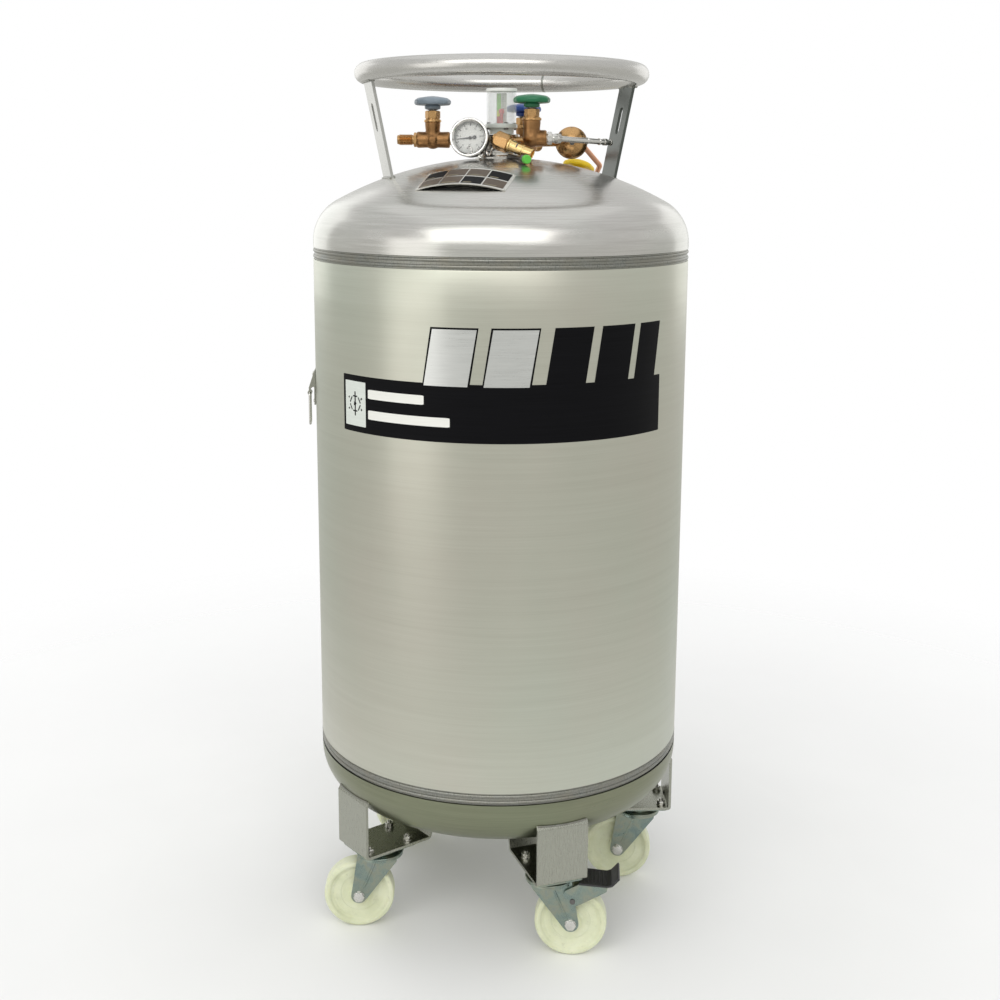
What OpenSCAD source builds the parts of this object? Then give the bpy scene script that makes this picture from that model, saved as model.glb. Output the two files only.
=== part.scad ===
// Pressurised liquid nitrogen dewar: a vacuum-insulated vessel on five swivel casters.
// Origin on the floor on the vessel's axis, +Z up, front towards -Y, millimetres.

/* [Vessel] */
// Outside diameter of the outer shell
shell_d = 660; // [650:2:670]
// Wall thickness of the shell and its heads
wall = 3; // [2.5:0.5:3.5]
// Height of the lower girth weld
low_weld_z = 317; // [317:1:322]
// Height of the upper girth weld
top_weld_z = 1200; // [1190:1:1200]
// Crown radius of both heads
crown_r = 600; // [595:1:605]
// Knuckle radius of both heads
knuckle_r = 80; // [78:1:82]
// Outside diameter of the inner vessel
inner_d = 560; // [540:5:560]

/* [Handling ring] */
// Height of the ring's centre line
ring_z = 1505; // [1500:1:1510]
// Radius of the ring's centre line
ring_r = 238; // [232:1:242]
// Outside diameter of the ring's tube
ring_tube_d = 33.7; // [30:0.1:34]
// Width of the flat bars that carry the ring
support_w = 62; // [50:1:64]

/* [Casters] */
// Number of casters
casters = 5; // [5]
// Direction of the first caster, from the front towards the right, in degrees
first_caster = 19.7; // [15:0.1:25]
// Radius of the circle that the swivel axes stand on
swivel_r = 268; // [264:1:270]
// Diameter of a wheel
wheel_d = 125; // [120:1:125]
// Width of a wheel's tread
tread_w = 32; // [28:1:32]
// Distance from the swivel axis back to the axle
trail = 37; // [34:1:38]
// Width of a caster bracket
bracket_w = 92; // [88:1:96]

/* [Valves] */
// Height of the valve bodies' centre line
valve_z = 1394; // [1392:1:1396]
// Diameter of a handwheel
handwheel_d = 64; // [56:1:66]
// Diameter of the pressure gauge's case
gauge_d = 64; // [60:1:66]
// Diameter of the clear sleeve of the contents gauge
sleeve_d = 52; // [46:1:54]

/* [Hidden] */
$fn = 64;
e = 1;                       // how far a cut runs past the face it opens
shell_r = shell_d / 2;
seam_half = 10;              // half the height of a girth weld's band
seam_step = 2;               // how far the band lies below the shell
bead_r = 3;
flange_h = 20;               // from a girth weld to its head's tangent line
top_tan_z = top_weld_z + flange_h;
low_tan_z = low_weld_z - flange_h;
head_h = crown_r - sqrt(pow(crown_r - knuckle_r, 2) - pow(shell_r - knuckle_r, 2));
crown_z = top_tan_z + head_h;
belly_z = low_tan_z - head_h;

// Height of the dome's outer face at radius r, and of the belly's
function dome_z(r) = crown_z - crown_r + sqrt(crown_r * crown_r - r * r);

inner_r = inner_d / 2;
inner_wall = 2.5;
inner_crown_r = 520;
inner_knuckle_r = 60;
inner_low_z = 318;
inner_top_z = 1172;
inner_head_h = inner_crown_r
    - sqrt(pow(inner_crown_r - inner_knuckle_r, 2) - pow(inner_r - inner_knuckle_r, 2));
wrap_t = 22;                 // thickness of the insulation wrap

neck_r = 25;                 // neck tube
neck_wall = 1.5;
collar_r = 45;
collar_top = 1377;
block_r = 32;                // manifold block
block_top = 1404;
dip_r = 6;
dip_y = 15;                  // the dip tube stands behind the float rod
rod_r = 3;
run_gap = 0.05;              // radial clearance of a shaft in its hole

coil_tube_r = 6;
coil_r = shell_r - wall - coil_tube_r - 0.5;
coil_z = [380, 430, 480, 530];

ring_tube_r = ring_tube_d / 2;
ring_wall = 2.6;
support_t = 5;
support_az = [-73, 107];     // left and right, from the front towards the right
support_foot_r = 202;
support_slot = [48, 15];     // length and width
support_slot_z = 103;        // slot's middle above the foot

caster_az = [for (i = [0 : casters - 1]) first_caster + i * 360 / casters];
caster_heading = [-4, 176, 184, 20, 182];  // where each caster trails, from +X
wheel_r = wheel_d / 2;
axle_r = 6;
plate_z = 155;               // underside of a bracket, on top of the caster
plate_t = 3;                 // caster's top plate
plate_size = [105, 85];
bolt_step = [80, 60];
bolt_r = 4;
cup_r = 30;
fork_top = 143;
fork_t = 4;
cheek_in = 20;               // half the gap between a fork's cheeks
cheek_t = 3;
crown_disc_r = 40;
crown_disc_x = 3;
kingpin_r = 7;
bracket_t = 5;
bracket_face_r = 325;
bracket_top_z = 257;
bracket_len = 136;
pedal_pivot = [40, 108];     // along the trail, and up
pedal_pin_r = 3;
pedal_w = 55;

barrel_r = 14;
stem_r = 4;
bonnet_z = 36;               // from a valve's centre line to its bonnet nut
bonnet_h = 14;
bonnet_r = 13.3;
hub_gap = 2;
wheel_z = bonnet_z + bonnet_h + hub_gap;
vent_at = [-120, 0, valve_z];
gas_at = [52, -31, valve_z + 3];
liquid_az = 62;
liquid_reach = 84;
liquid_at = [liquid_reach * cos(liquid_az), liquid_reach * sin(liquid_az), valve_z - 8];
build_az = 59;
build_r = 268;
build_tilt = 24;
build_at = [build_r * cos(build_az), build_r * sin(build_az), dome_z(build_r)];
build_rise = 10;             // lengthens the build valve's neck

gauge_at = [-50, -36, 1394];
gauge_turn = [82, 0, -12];   // tips the gauge's axis from +Z to the front, up and left
gauge_depth = 24;
relief_at = [2, -52, 1390];
relief_turn = [0, 111, -22];
regulator_at = [125, 52, 1391];
line_from = [90, gas_at.y, gas_at.z];
line_to = [196, 52, 1392];
line_r = 5;
cap_from = [14, -44, 1366];
cap_to = [44, -124, 1360];
cap_h = 10;
tag_az = -16;                // instruction plate, from the front towards the right
tag_size = [150, 71];
tag_arch_r = 250;
tag_sink = 6;                // how far the plate's ends are let down onto the dome
label_z = [918, 1104];
label_az = [-51.5, 53];
label_t = 0.4;
clip_turn = 5;               // side bracket stands this far forward of the left side
clip_pin = [-341, 0, 951];
clip_w = 30;
link_r = 2;
link_size = [24, 56];

// ---------- shared shapes ----------

// A dished head as a solid, its tangent line at z = 0, drawn in by `inset`
module dished_solid(r, crown, knuckle, inset = 0, skirt = 0) {
    c = crown - sqrt(pow(crown - knuckle, 2) - pow(r - knuckle, 2));
    turn = asin((r - knuckle) / (crown - knuckle));
    k = knuckle - inset;
    rotate_extrude($fn = 128)
        polygon(concat(
            [[0, -skirt], [r - inset, -skirt]],
            [for (i = [0 : 10]) let (a = (90 - turn) * i / 10)
                [r - knuckle + k * cos(a), k * sin(a)]],
            [for (i = [11 : -1 : 0]) let (a = turn * i / 12)
                [(crown - inset) * sin(a), c - crown + (crown - inset) * cos(a)]]
        ));
}

// The outside of the whole outer vessel, or its cavity when inset by the wall
module vessel_solid(inset = 0) {
    translate([0, 0, top_tan_z]) dished_solid(shell_r, crown_r, knuckle_r, inset, flange_h);
    translate([0, 0, low_weld_z])
        cylinder(r = shell_r - inset, h = top_weld_z - low_weld_z, $fn = 128);
    translate([0, 0, low_tan_z]) mirror([0, 0, 1])
        dished_solid(shell_r, crown_r, knuckle_r, inset, flange_h);
}

// The inner vessel as a solid, drawn in by `inset`
module inner_solid(inset = 0) {
    translate([0, 0, inner_top_z])
        dished_solid(inner_r, inner_crown_r, inner_knuckle_r, inset);
    translate([0, 0, inner_low_z])
        cylinder(r = inner_r - inset, h = inner_top_z - inner_low_z, $fn = 128);
    translate([0, 0, inner_low_z]) mirror([0, 0, 1])
        dished_solid(inner_r, inner_crown_r, inner_knuckle_r, inset);
}

// A round bar from p to q
module bar(p, q, r) {
    d = q - p;
    translate(p) rotate([0, atan2(norm([d.x, d.y]), d.z), atan2(d.y, d.x)])
        cylinder(r = r, h = norm(d));
}

// A pipe along points, with a slightly fatter ball at each bend, poles along the pipe
module pipe(points, r) {
    for (i = [1 : len(points) - 1]) {
        d = points[i] - points[i - 1];
        translate(points[i - 1]) rotate([0, atan2(norm([d.x, d.y]), d.z), atan2(d.y, d.x)]) {
            cylinder(r = r, h = norm(d));
            if (i > 1) sphere(r = r + 0.3);
        }
    }
}

// Stands its children at angle az, counted from the front towards the right, with
// the child's +X pointing away from the axis
module at_az(az) {
    rotate([0, 0, az - 90]) children();
}

module hexagon(across_corners_r, h) {
    cylinder(r = across_corners_r, h = h, $fn = 6);
}

// ---------- vessel ----------

module outer_shell() {
    color("silver") difference() {
        translate([0, 0, low_weld_z + seam_half])
            cylinder(r = shell_r, h = top_weld_z - low_weld_z - 2 * seam_half, $fn = 128);
        translate([0, 0, low_weld_z])
            cylinder(r = shell_r - wall, h = top_weld_z - low_weld_z, $fn = 128);
    }
}

module head_shell() {
    difference() {
        dished_solid(shell_r, crown_r, knuckle_r, 0, flange_h - seam_half);
        dished_solid(shell_r, crown_r, knuckle_r, wall, flange_h);
    }
}

module top_head() {
    color("gainsboro") difference() {
        translate([0, 0, top_tan_z]) head_shell();
        translate([0, 0, crown_z - 40]) cylinder(r = collar_r, h = 80);
    }
}

module bottom_head() {
    color("gainsboro") translate([0, 0, low_tan_z]) mirror([0, 0, 1]) head_shell();
}

// A backing ring that bridges the gap between two edges, with two weld beads on it
module girth_weld(z) {
    face_r = shell_r - seam_step;
    translate([0, 0, z]) {
        difference() {
            translate([0, 0, -seam_half]) cylinder(r = face_r, h = 2 * seam_half, $fn = 128);
            translate([0, 0, -seam_half - e])
                cylinder(r = face_r - 4, h = 2 * (seam_half + e), $fn = 128);
        }
        for (side = [-1, 1])
            rotate_extrude($fn = 128) translate([face_r - 1, side * seam_half / 2])
                polygon(concat([[0, -bead_r]],
                    [for (a = [-90 : 22.5 : 90]) [1 + bead_r * cos(a), bead_r * sin(a)]],
                    [[0, bead_r]]));
    }
}

module girth_welds() {
    color("darkgray") for (z = [low_weld_z, top_weld_z]) girth_weld(z);
}

module neck_collar() {
    color("silver") difference() {
        union() {
            translate([0, 0, crown_z - 22]) cylinder(r = collar_r, h = collar_top - crown_z + 22);
            translate([0, 0, collar_top - 5]) cylinder(r = collar_r + 2, h = 3);
        }
        translate([0, 0, crown_z - 40]) cylinder(r = neck_r, h = 80);
    }
}

module inner_vessel() {
    color("lightgray") difference() {
        inner_solid();
        inner_solid(inner_wall);
        translate([0, 0, inner_top_z]) cylinder(r = neck_r, h = inner_head_h + e);
    }
}

module insulation_wrap() {
    color("lightyellow") translate([0, 0, inner_low_z]) difference() {
        cylinder(r = inner_r + wrap_t, h = inner_top_z - inner_low_z, $fn = 128);
        translate([0, 0, -e])
            cylinder(r = inner_r, h = inner_top_z - inner_low_z + 2 * e, $fn = 128);
    }
}

module neck_tube() {
    foot = inner_top_z + inner_head_h - 20;
    color("lightgray") difference() {
        translate([0, 0, foot]) cylinder(r = neck_r, h = collar_top - foot);
        translate([0, 0, foot - e]) cylinder(r = neck_r - neck_wall, h = collar_top - foot + 2 * e);
    }
}

module bottom_support() {
    color("tan") difference() {
        intersection() {
            translate([0, 0, belly_z]) cylinder(r = 42, h = 90);
            vessel_solid(wall);
        }
        inner_solid();
        translate([0, 0, belly_z - e]) cylinder(r = 34, h = 100);
    }
}

// Hoops brazed into a header pipe, which rises to the build valve
module pressure_coil() {
    header_r = 8;
    header_x = coil_r - 6;
    foot = coil_z[0] - 14;
    riser = [header_x, 0, top_weld_z];
    color("chocolate") rotate([0, 0, build_az]) {
        for (z = coil_z)
            translate([0, 0, z]) rotate_extrude($fn = 128) translate([coil_r, 0])
                circle(r = coil_tube_r, $fn = 24);
        translate([header_x, 0, foot]) cylinder(r = header_r, h = top_weld_z - foot);
        translate(riser) sphere(r = header_r);
        bar(riser, [build_r + 8, 0, dome_z(build_r + 8) - 18], header_r - 2);
    }
}

module dip_tube() {
    foot = 222;
    color("lightgray") translate([0, dip_y, foot]) difference() {
        cylinder(r = dip_r, h = block_top - 14 - foot);
        translate([0, 0, -e]) cylinder(r = dip_r - 1, h = block_top - foot + 2 * e);
    }
}

// ---------- handling ring ----------

module ring_tube(r, thick) {
    translate([0, 0, ring_z]) rotate_extrude($fn = 128) translate([ring_r, 0])
        difference() {
            circle(r = r, $fn = 48);
            if (thick > 0) circle(r = r - thick, $fn = 48);
        }
}

module handling_ring() {
    color("silver") ring_tube(ring_tube_r, ring_wall);
}

// A slotted flat bar from the dome up to the underside of the ring
module ring_support(az) {
    foot_z = dome_z(support_foot_r);
    lean = atan2(ring_r - support_foot_r, ring_z - foot_z);
    long = norm([ring_r - support_foot_r, ring_z - foot_z]);
    color("darkgray") difference() {
        at_az(az) translate([support_foot_r, 0, foot_z]) rotate([0, lean, 0])
            translate([-support_t / 2, 0, 0]) difference() {
                translate([0, -support_w / 2, -14]) cube([support_t, support_w, long + 14]);
                for (end = [-1, 1])
                    translate([-e, 0, support_slot_z + end * (support_slot[0] - support_slot[1]) / 2])
                        rotate([0, 90, 0])
                            cylinder(r = support_slot[1] / 2, h = support_t + 2 * e);
                translate([-e, -support_slot[1] / 2,
                           support_slot_z - (support_slot[0] - support_slot[1]) / 2])
                    cube([support_t + 2 * e, support_slot[1], support_slot[0] - support_slot[1]]);
            }
        ring_tube(ring_tube_r, 0);
        vessel_solid();
    }
}

module ring_support_left() {
    ring_support(support_az[0]);
}

module ring_support_right() {
    ring_support(support_az[1]);
}

// ---------- manifold and valves ----------

module manifold_block() {
    color("lightgray") difference() {
        translate([0, 0, collar_top]) cylinder(r = block_r, h = block_top - collar_top);
        translate([0, 0, collar_top - e]) cylinder(r = rod_r + 1, h = block_top - collar_top + 2 * e);
        translate([0, dip_y, collar_top - e])
            cylinder(r = dip_r, h = block_top - 14 - collar_top + e);
    }
}

// A globe valve's body: barrel along X, neck along +Z, centre line at the origin
module globe_body(inlet, outlet, nipple, neck_r = 13.5, neck_top = bonnet_z) {
    nipple_r = 9.5;
    difference() {
        union() {
            translate([-inlet, 0, 0]) rotate([0, 90, 0])
                cylinder(r = barrel_r, h = inlet + outlet - nipple);
            cylinder(r = neck_r, h = neck_top);
            translate([0, 0, neck_top - 6]) cylinder(r = neck_r + 1.5, h = 4);
            sphere(r = barrel_r + 2);
            if (nipple > 0) {
                translate([outlet - nipple - e, 0, 0]) rotate([0, 90, 0])
                    cylinder(r = nipple_r, h = nipple + e);
                translate([outlet - nipple, 0, 0]) rotate([0, 90, 0]) hexagon(12.5, 5);
            }
        }
        translate([0, 0, 6]) cylinder(r = stem_r + run_gap, h = neck_top);
        translate([10, 0, 0]) rotate([0, 90, 0]) cylinder(r = 5, h = outlet);
    }
}

module vent_frame() {
    translate(vent_at) rotate([0, 0, 180]) children();
}

module gas_frame() {
    translate(gas_at) children();
}

module liquid_frame() {
    translate(liquid_at) rotate([0, 0, liquid_az]) children();
}

build_nut_z = bonnet_z + build_rise - bonnet_h;

module build_frame() {
    translate(build_at) rotate([0, 0, build_az]) rotate([0, build_tilt, 0]) children();
}

module vent_valve_body() {
    color("peru") vent_frame() globe_body(30, 62, 34);
}

module gas_valve_body() {
    color("sienna") gas_frame() globe_body(0, 26, 0, 15.5);
}

module liquid_valve_body() {
    color("peru") liquid_frame() globe_body(22, 64, 34);
}

// The build valve stands on the dome, with its line leaving sideways
module build_valve_body() {
    color("peru") difference() {
        build_frame() difference() {
            union() {
                translate([0, 0, -8]) cylinder(r = 15, h = 20);
                cylinder(r = 12, h = build_nut_z);
                translate([0, 0, 8]) rotate([90, 0, 0]) cylinder(r = 8, h = 26);
            }
            translate([0, 0, 2]) cylinder(r = stem_r + run_gap, h = bonnet_z);
        }
        vessel_solid();
    }
}

module bonnet_nut() {
    difference() {
        hexagon(bonnet_r, bonnet_h);
        translate([0, 0, -e]) cylinder(r = stem_r + run_gap, h = bonnet_h + 2 * e);
    }
}

module bonnet_nuts() {
    color("goldenrod") {
        vent_frame() translate([0, 0, bonnet_z]) bonnet_nut();
        gas_frame() translate([0, 0, bonnet_z]) bonnet_nut();
        liquid_frame() translate([0, 0, bonnet_z]) bonnet_nut();
        build_frame() translate([0, 0, build_nut_z]) difference() {
            hexagon(bonnet_r, 6);
            translate([0, 0, -e]) cylinder(r = stem_r + run_gap, h = 6 + 2 * e);
        }
    }
}

// A mushroom handwheel with its spindle, its underside at z = 0
module handwheel(spindle) {
    r = handwheel_d / 2;
    rotate_extrude(convexity = 4)
        polygon(concat(
            [[0, -spindle], [stem_r, -spindle], [stem_r, 0], [12, 0], [14, 2], [14, 6], [11, 8],
             [r - 8, 9], [r - 3, 7]],
            [for (a = [-60 : 20 : 60]) [r - 4 + 4 * cos(a), 12 + 5 * sin(a)]],
            [for (i = [4 : -1 : 0]) let (a = 6 * i) [(r - 5) * sin(a * 3.3) / sin(79.2),
                                                     19 + 3.5 * cos(a * 3.3)]]
        ));
}

module vent_handwheel() {
    color("lightsteelblue") vent_frame() translate([0, 0, wheel_z]) handwheel(44);
}

module gas_handwheel() {
    color("green") gas_frame() translate([0, 0, wheel_z]) handwheel(44);
}

module liquid_handwheel() {
    color("mediumblue") liquid_frame() translate([0, 0, wheel_z]) handwheel(44);
}

module build_handwheel() {
    color("gold") build_frame() translate([0, 0, build_nut_z + 6 + hub_gap]) handwheel(20);
}

// Nipples and unions between the manifold block and what hangs on it
module pipe_fittings() {
    vent_in = vent_at + [30, 0, 0];
    liquid_out = [cos(liquid_az), sin(liquid_az), 0];
    color("peru") port_stub();
    color("peru") difference() {
        union() {
            bar([-block_r + 4, 0, valve_z], vent_in, 9);
            translate([-block_r - 16, 0, valve_z]) rotate([0, 90, 0]) hexagon(14, 14);
            bar(liquid_out * (block_r - 4) + [0, 0, liquid_at.z],
                liquid_out * (liquid_reach - 22) + [0, 0, liquid_at.z], 9);
            bar([block_r - 12, gas_at.y / 2, gas_at.z - 6], [gas_at.x - 6, gas_at.y, gas_at.z - 6], 9);
            bar([relief_at.x, 0, collar_top + 11], [relief_at.x, relief_at.y + 6, collar_top + 11], 7);
            bar([20, 0, valve_z - 6], regulator_at + [-14, 10, 0], 6);
            bar([gauge_at.x, 0, valve_z], gauge_at + [0, 4, 0], 7);
        }
        translate([0, 0, collar_top - e]) cylinder(r = block_r, h = 60);
        vent_frame() globe_solid();
        liquid_frame() globe_solid();
        gas_frame() globe_solid(15.5);
        relief_solid();
        regulator_solid();
        gauge_frame() cylinder(r = gauge_d / 2, h = 60);
    }
}

// A valve body without its bores, to cut its neighbours back to it
module globe_solid(neck_r = 13.5) {
    translate([-30, 0, 0]) rotate([0, 90, 0]) cylinder(r = barrel_r, h = 50);
    cylinder(r = neck_r, h = bonnet_z);
    sphere(r = barrel_r + 2);
}

// ---------- gauges, relief valve, regulator ----------

module gauge_frame() {
    translate(gauge_at) rotate(gauge_turn) children();
}

module gauge_case() {
    r = gauge_d / 2;
    color([0.08, 0.08, 0.09]) gauge_frame() difference() {
        union() {
            cylinder(r = r, h = gauge_depth);
            translate([0, 0, gauge_depth - 4]) cylinder(r = r + 1, h = 2);
        }
        translate([0, 0, gauge_depth - 9]) cylinder(r = r - 3, h = 9 + e);
    }
}

module gauge_dial() {
    color("white") gauge_frame() translate([0, 0, gauge_depth - 9]) difference() {
        cylinder(r = gauge_d / 2 - 3, h = 1.5);
        translate([0, 0, -e]) cylinder(r = 1.5 + run_gap, h = 1.5 + 2 * e);
    }
}

// The needle lies at a reading near nine o'clock
module gauge_needle() {
    long = gauge_d / 2 - 9;
    color("black") gauge_frame() translate([0, 0, gauge_depth - 9]) {
        translate([0, 0, 0.3]) cylinder(r = 1.5, h = 2.9);
        translate([0, 0, 2.6]) rotate([0, 0, 186]) {
            cylinder(r = 3, h = 1);
            linear_extrude(0.8)
                polygon([[long, 0.4], [long, -0.4], [0, -1.4], [-5, -1.2], [-5, 1.2], [0, 1.4]]);
            translate([-8, 0, 0]) cylinder(r = 3.6, h = 0.8);
        }
    }
}

module gauge_lens() {
    color([0.9, 0.95, 1, 0.3]) gauge_frame() translate([0, 0, gauge_depth - 2])
        cylinder(r = gauge_d / 2 - 3, h = 2);
}

module gauge_bezel() {
    r = gauge_d / 2;
    color("silver") gauge_frame() translate([0, 0, gauge_depth]) difference() {
        rotate_extrude()
            polygon([[r - 5, 0], [r + 1, 0], [r + 1.5, 1], [r + 1.5, 3], [r, 4.5], [r - 2, 4.5],
                     [r - 5, 1.5]]);
    }
}

sleeve_z = block_top + 18;
sleeve_top = 1476;

module level_fittings() {
    r = sleeve_d / 2;
    color("whitesmoke") {
        translate([0, 0, block_top]) difference() {
            union() {
                cylinder(r = 22, h = 10);
                translate([0, 0, 10]) cylinder(r = r + 2, h = 8);
            }
            translate([0, 0, -e]) cylinder(r = rod_r + 1, h = 20);
        }
        translate([0, 0, sleeve_top]) difference() {
            cylinder(r = r + 1.5, h = 6);
            translate([0, 0, -e]) cylinder(r = r - 6, h = 4);
        }
    }
}

module level_sleeve() {
    r = sleeve_d / 2;
    color([0.9, 0.95, 1, 0.3]) translate([0, 0, sleeve_z]) difference() {
        cylinder(r = r, h = sleeve_top - sleeve_z);
        translate([0, 0, -e]) cylinder(r = r - 3, h = sleeve_top - sleeve_z + 2 * e);
    }
}

// A fixed strip beside the rod, marked in three colour zones
module level_scale() {
    color("yellowgreen") translate([-9, 9, sleeve_z]) cube([18, 2, sleeve_top - sleeve_z - 1]);
}

module level_float() {
    rod_top = 1444;
    rod_foot = 250;
    color("crimson") {
        translate([0, 0, rod_foot]) cylinder(r = rod_r, h = rod_top - rod_foot);
        translate([0, 0, rod_foot + 10]) cylinder(r = 9, h = 820);
        translate([0, 0, rod_top - 6]) cylinder(r = 7, h = 10);
    }
}

module relief_frame() {
    translate(relief_at) rotate([0, 0, relief_turn.z]) rotate([0, relief_turn.y, 0]) children();
}

module relief_solid() {
    relief_frame() {
        translate([0, 0, -18]) cylinder(r = 9, h = 6);
        translate([0, 0, -13]) hexagon(16, 26);
        translate([0, 0, 13]) cylinder(r = 12, h = 4);
        translate([0, 0, 17]) cylinder(r1 = 10, r2 = 9.5, h = 42);
    }
    translate([relief_at.x, relief_at.y, collar_top + 2]) {
        hexagon(11, 12);
        cylinder(r = 8, h = 14);
    }
}

module relief_valve() {
    color("darkgoldenrod") difference() {
        relief_solid();
        relief_frame() translate([0, 0, 20]) cylinder(r = 7, h = 40);
    }
}

module regulator_frame() {
    translate(regulator_at) rotate([90, 0, 0]) children();
}

dome_depth = 17;             // regulator's spring housing
dome_rim = 27.5;
dome_r = (dome_rim * dome_rim + dome_depth * dome_depth) / (2 * dome_depth);

module regulator_solid() {
    regulator_frame() {
        translate([0, 0, -26]) cylinder(r = 22, h = 26);
        cylinder(r = 28.5, h = 7);
        translate([0, 0, 7]) intersection() {
            translate([0, 0, dome_depth - dome_r]) sphere(r = dome_r);
            cylinder(r = 40, h = 40);
        }
    }
}

module regulator() {
    color("sienna") difference() {
        regulator_solid();
        regulator_frame() translate([0, 0, 4]) cylinder(r = 3 + run_gap, h = 30);
    }
}

module regulator_screw() {
    color("dimgray") regulator_frame() {
        translate([0, 0, 8]) cylinder(r = 3, h = 18);
        translate([0, 0, 25.5]) hexagon(5, 5);
    }
}

// Point on the axis of the build valve's side branch, that far from the valve's own axis
function build_branch(reach) = build_at + [
    reach * sin(build_az) + 8 * sin(build_tilt) * cos(build_az),
    -reach * cos(build_az) + 8 * sin(build_tilt) * sin(build_az),
    8 * cos(build_tilt)
];

// Copper line from the build valve up into the back of the regulator
module build_line() {
    back = regulator_at + [0, 26, 0];
    color("chocolate")
        pipe([build_branch(26), build_branch(34), [184, 150, 1352], [151, 113, 1386],
              back + [4, 17, 0], back + [0, 7, 0], back], 4.8);
}

module steel_line() {
    dir = (line_to - line_from) / norm(line_to - line_from);
    color("lightgray") difference() {
        union() {
            bar(line_from + dir * 8, line_to, line_r);
            bar([gas_at.x + 20, gas_at.y, gas_at.z], line_from, 8);
            translate(line_from) sphere(r = 8);
            bar(line_from, line_from + dir * 14, 8);
            translate([gas_at.x + 27, gas_at.y, gas_at.z]) rotate([0, 90, 0]) hexagon(11, 9);
        }
        gas_frame() rotate([0, 90, 0]) cylinder(r = barrel_r, h = 26);
        regulator_solid();
    }
}

// A test port that lies over the front of the dome, with a green cap on its end
module port_stub() {
    dir = (cap_to - cap_from) / norm(cap_to - cap_from);
    difference() {
        bar(cap_from - dir * 8, cap_to - dir * cap_h, 4);
        translate([0, 0, crown_z - 40]) cylinder(r = collar_r + 2, h = 80);
        vessel_solid();
    }
}

module port_cap() {
    dir = (cap_to - cap_from) / norm(cap_to - cap_from);
    color("limegreen") bar(cap_to - dir * cap_h, cap_to, 7.5);
}

// ---------- plates and labels ----------

// An arched plate that stands off the front of the dome
module instruction_plate() {
    mid_r = 208;
    slope = asin(mid_r / crown_r);
    sag = tag_arch_r - sqrt(tag_arch_r * tag_arch_r - pow(tag_size.x / 2, 2));
    color("silver") difference() {
        at_az(tag_az) translate([mid_r, 0, dome_z(mid_r)]) rotate([0, slope, 0])
            translate([-tag_size.y / 2, 0, sag - tag_arch_r - tag_sink]) rotate([0, 90, 0])
                intersection() {
                    difference() {
                        cylinder(r = tag_arch_r + 1.5, h = tag_size.y, $fn = 128);
                        translate([0, 0, -e])
                            cylinder(r = tag_arch_r, h = tag_size.y + 2 * e, $fn = 128);
                    }
                    translate([-tag_arch_r - 10, -tag_size.x / 2, -e])
                        cube([60, tag_size.x, tag_size.y + 2 * e]);
                }
        vessel_solid();
    }
}

// A thin sheet wrapped round the front of the shell
module front_label() {
    color("black") translate([0, 0, label_z[0]])
        rotate([0, 0, label_az[0] - 90]) rotate_extrude(angle = label_az[1] - label_az[0], $fn = 128)
            translate([shell_r, 0]) square([label_t, label_z[1] - label_z[0]]);
}

module clip_frame() {
    rotate([0, 0, clip_turn]) children();
}

// A folded plate whose lip carries an eye for the hanging link
module side_bracket() {
    eye_r = 4;
    eye_w = 18;
    back = -shell_r - 0.1;
    color("silver") clip_frame() difference() {
        union() {
            translate([0, clip_w / 2, 0]) rotate([90, 0, 0]) linear_extrude(clip_w)
                polygon([[back, 930], [back - 3, 930], [back - 3, 964], [-341, 958],
                         [-343, 960], [back - 3, 990], [back, 994]]);
            translate([clip_pin.x, eye_w / 2, clip_pin.z]) rotate([90, 0, 0])
                cylinder(r = eye_r, h = eye_w);
            translate([clip_pin.x - 1.5, -eye_w / 2, clip_pin.z + 1])
                cube([3, eye_w, 8]);
        }
        translate([clip_pin.x, clip_w, clip_pin.z]) rotate([90, 0, 0])
            cylinder(r = link_r + run_gap, h = 2 * clip_w);
    }
}

module hanging_link() {
    half = link_size.x / 2 + 2;
    top = clip_pin;
    low = clip_pin - [0, 0, link_size.y];
    corners = [top + [0, half, 0], top - [0, half, 0], low - [0, half, 0], low + [0, half, 0]];
    color("silver") clip_frame() {
        for (i = [0 : 3]) {
            bar(corners[i], corners[(i + 1) % 4], link_r);
            translate(corners[i]) sphere(r = link_r);
        }
    }
}

// ---------- casters ----------

// Bent plate: outer face, base and a tab at the inner end, cut back to the belly
module caster_bracket(az) {
    inner = bracket_face_r - bracket_len;
    difference() {
        at_az(az) translate([0, bracket_w / 2, 0]) rotate([90, 0, 0]) difference() {
            linear_extrude(bracket_w)
                polygon([
                    [bracket_face_r, plate_z], [bracket_face_r, bracket_top_z],
                    [bracket_face_r - 9, bracket_top_z + 13],
                    [bracket_face_r - 14, bracket_top_z + 11],
                    [bracket_face_r - bracket_t, bracket_top_z - 2],
                    [bracket_face_r - bracket_t, plate_z + bracket_t],
                    [inner + 3, plate_z + bracket_t], [inner - 6, plate_z + 34],
                    [inner - 11, plate_z + 33], [inner, plate_z]
                ]);
            for (x = [-1, 1], y = [-1, 1])
                translate([swivel_r + x * bolt_step.x / 2, plate_z - e,
                           bracket_w / 2 + y * bolt_step.y / 2])
                    rotate([-90, 0, 0]) cylinder(r = bolt_r, h = bracket_t + 2 * e);
        }
        vessel_solid();
    }
}

module caster_brackets() {
    color("gray") for (az = caster_az) caster_bracket(az);
}

module at_swivel(i) {
    at_az(caster_az[i]) translate([swivel_r, 0, 0]) children();
}

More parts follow.
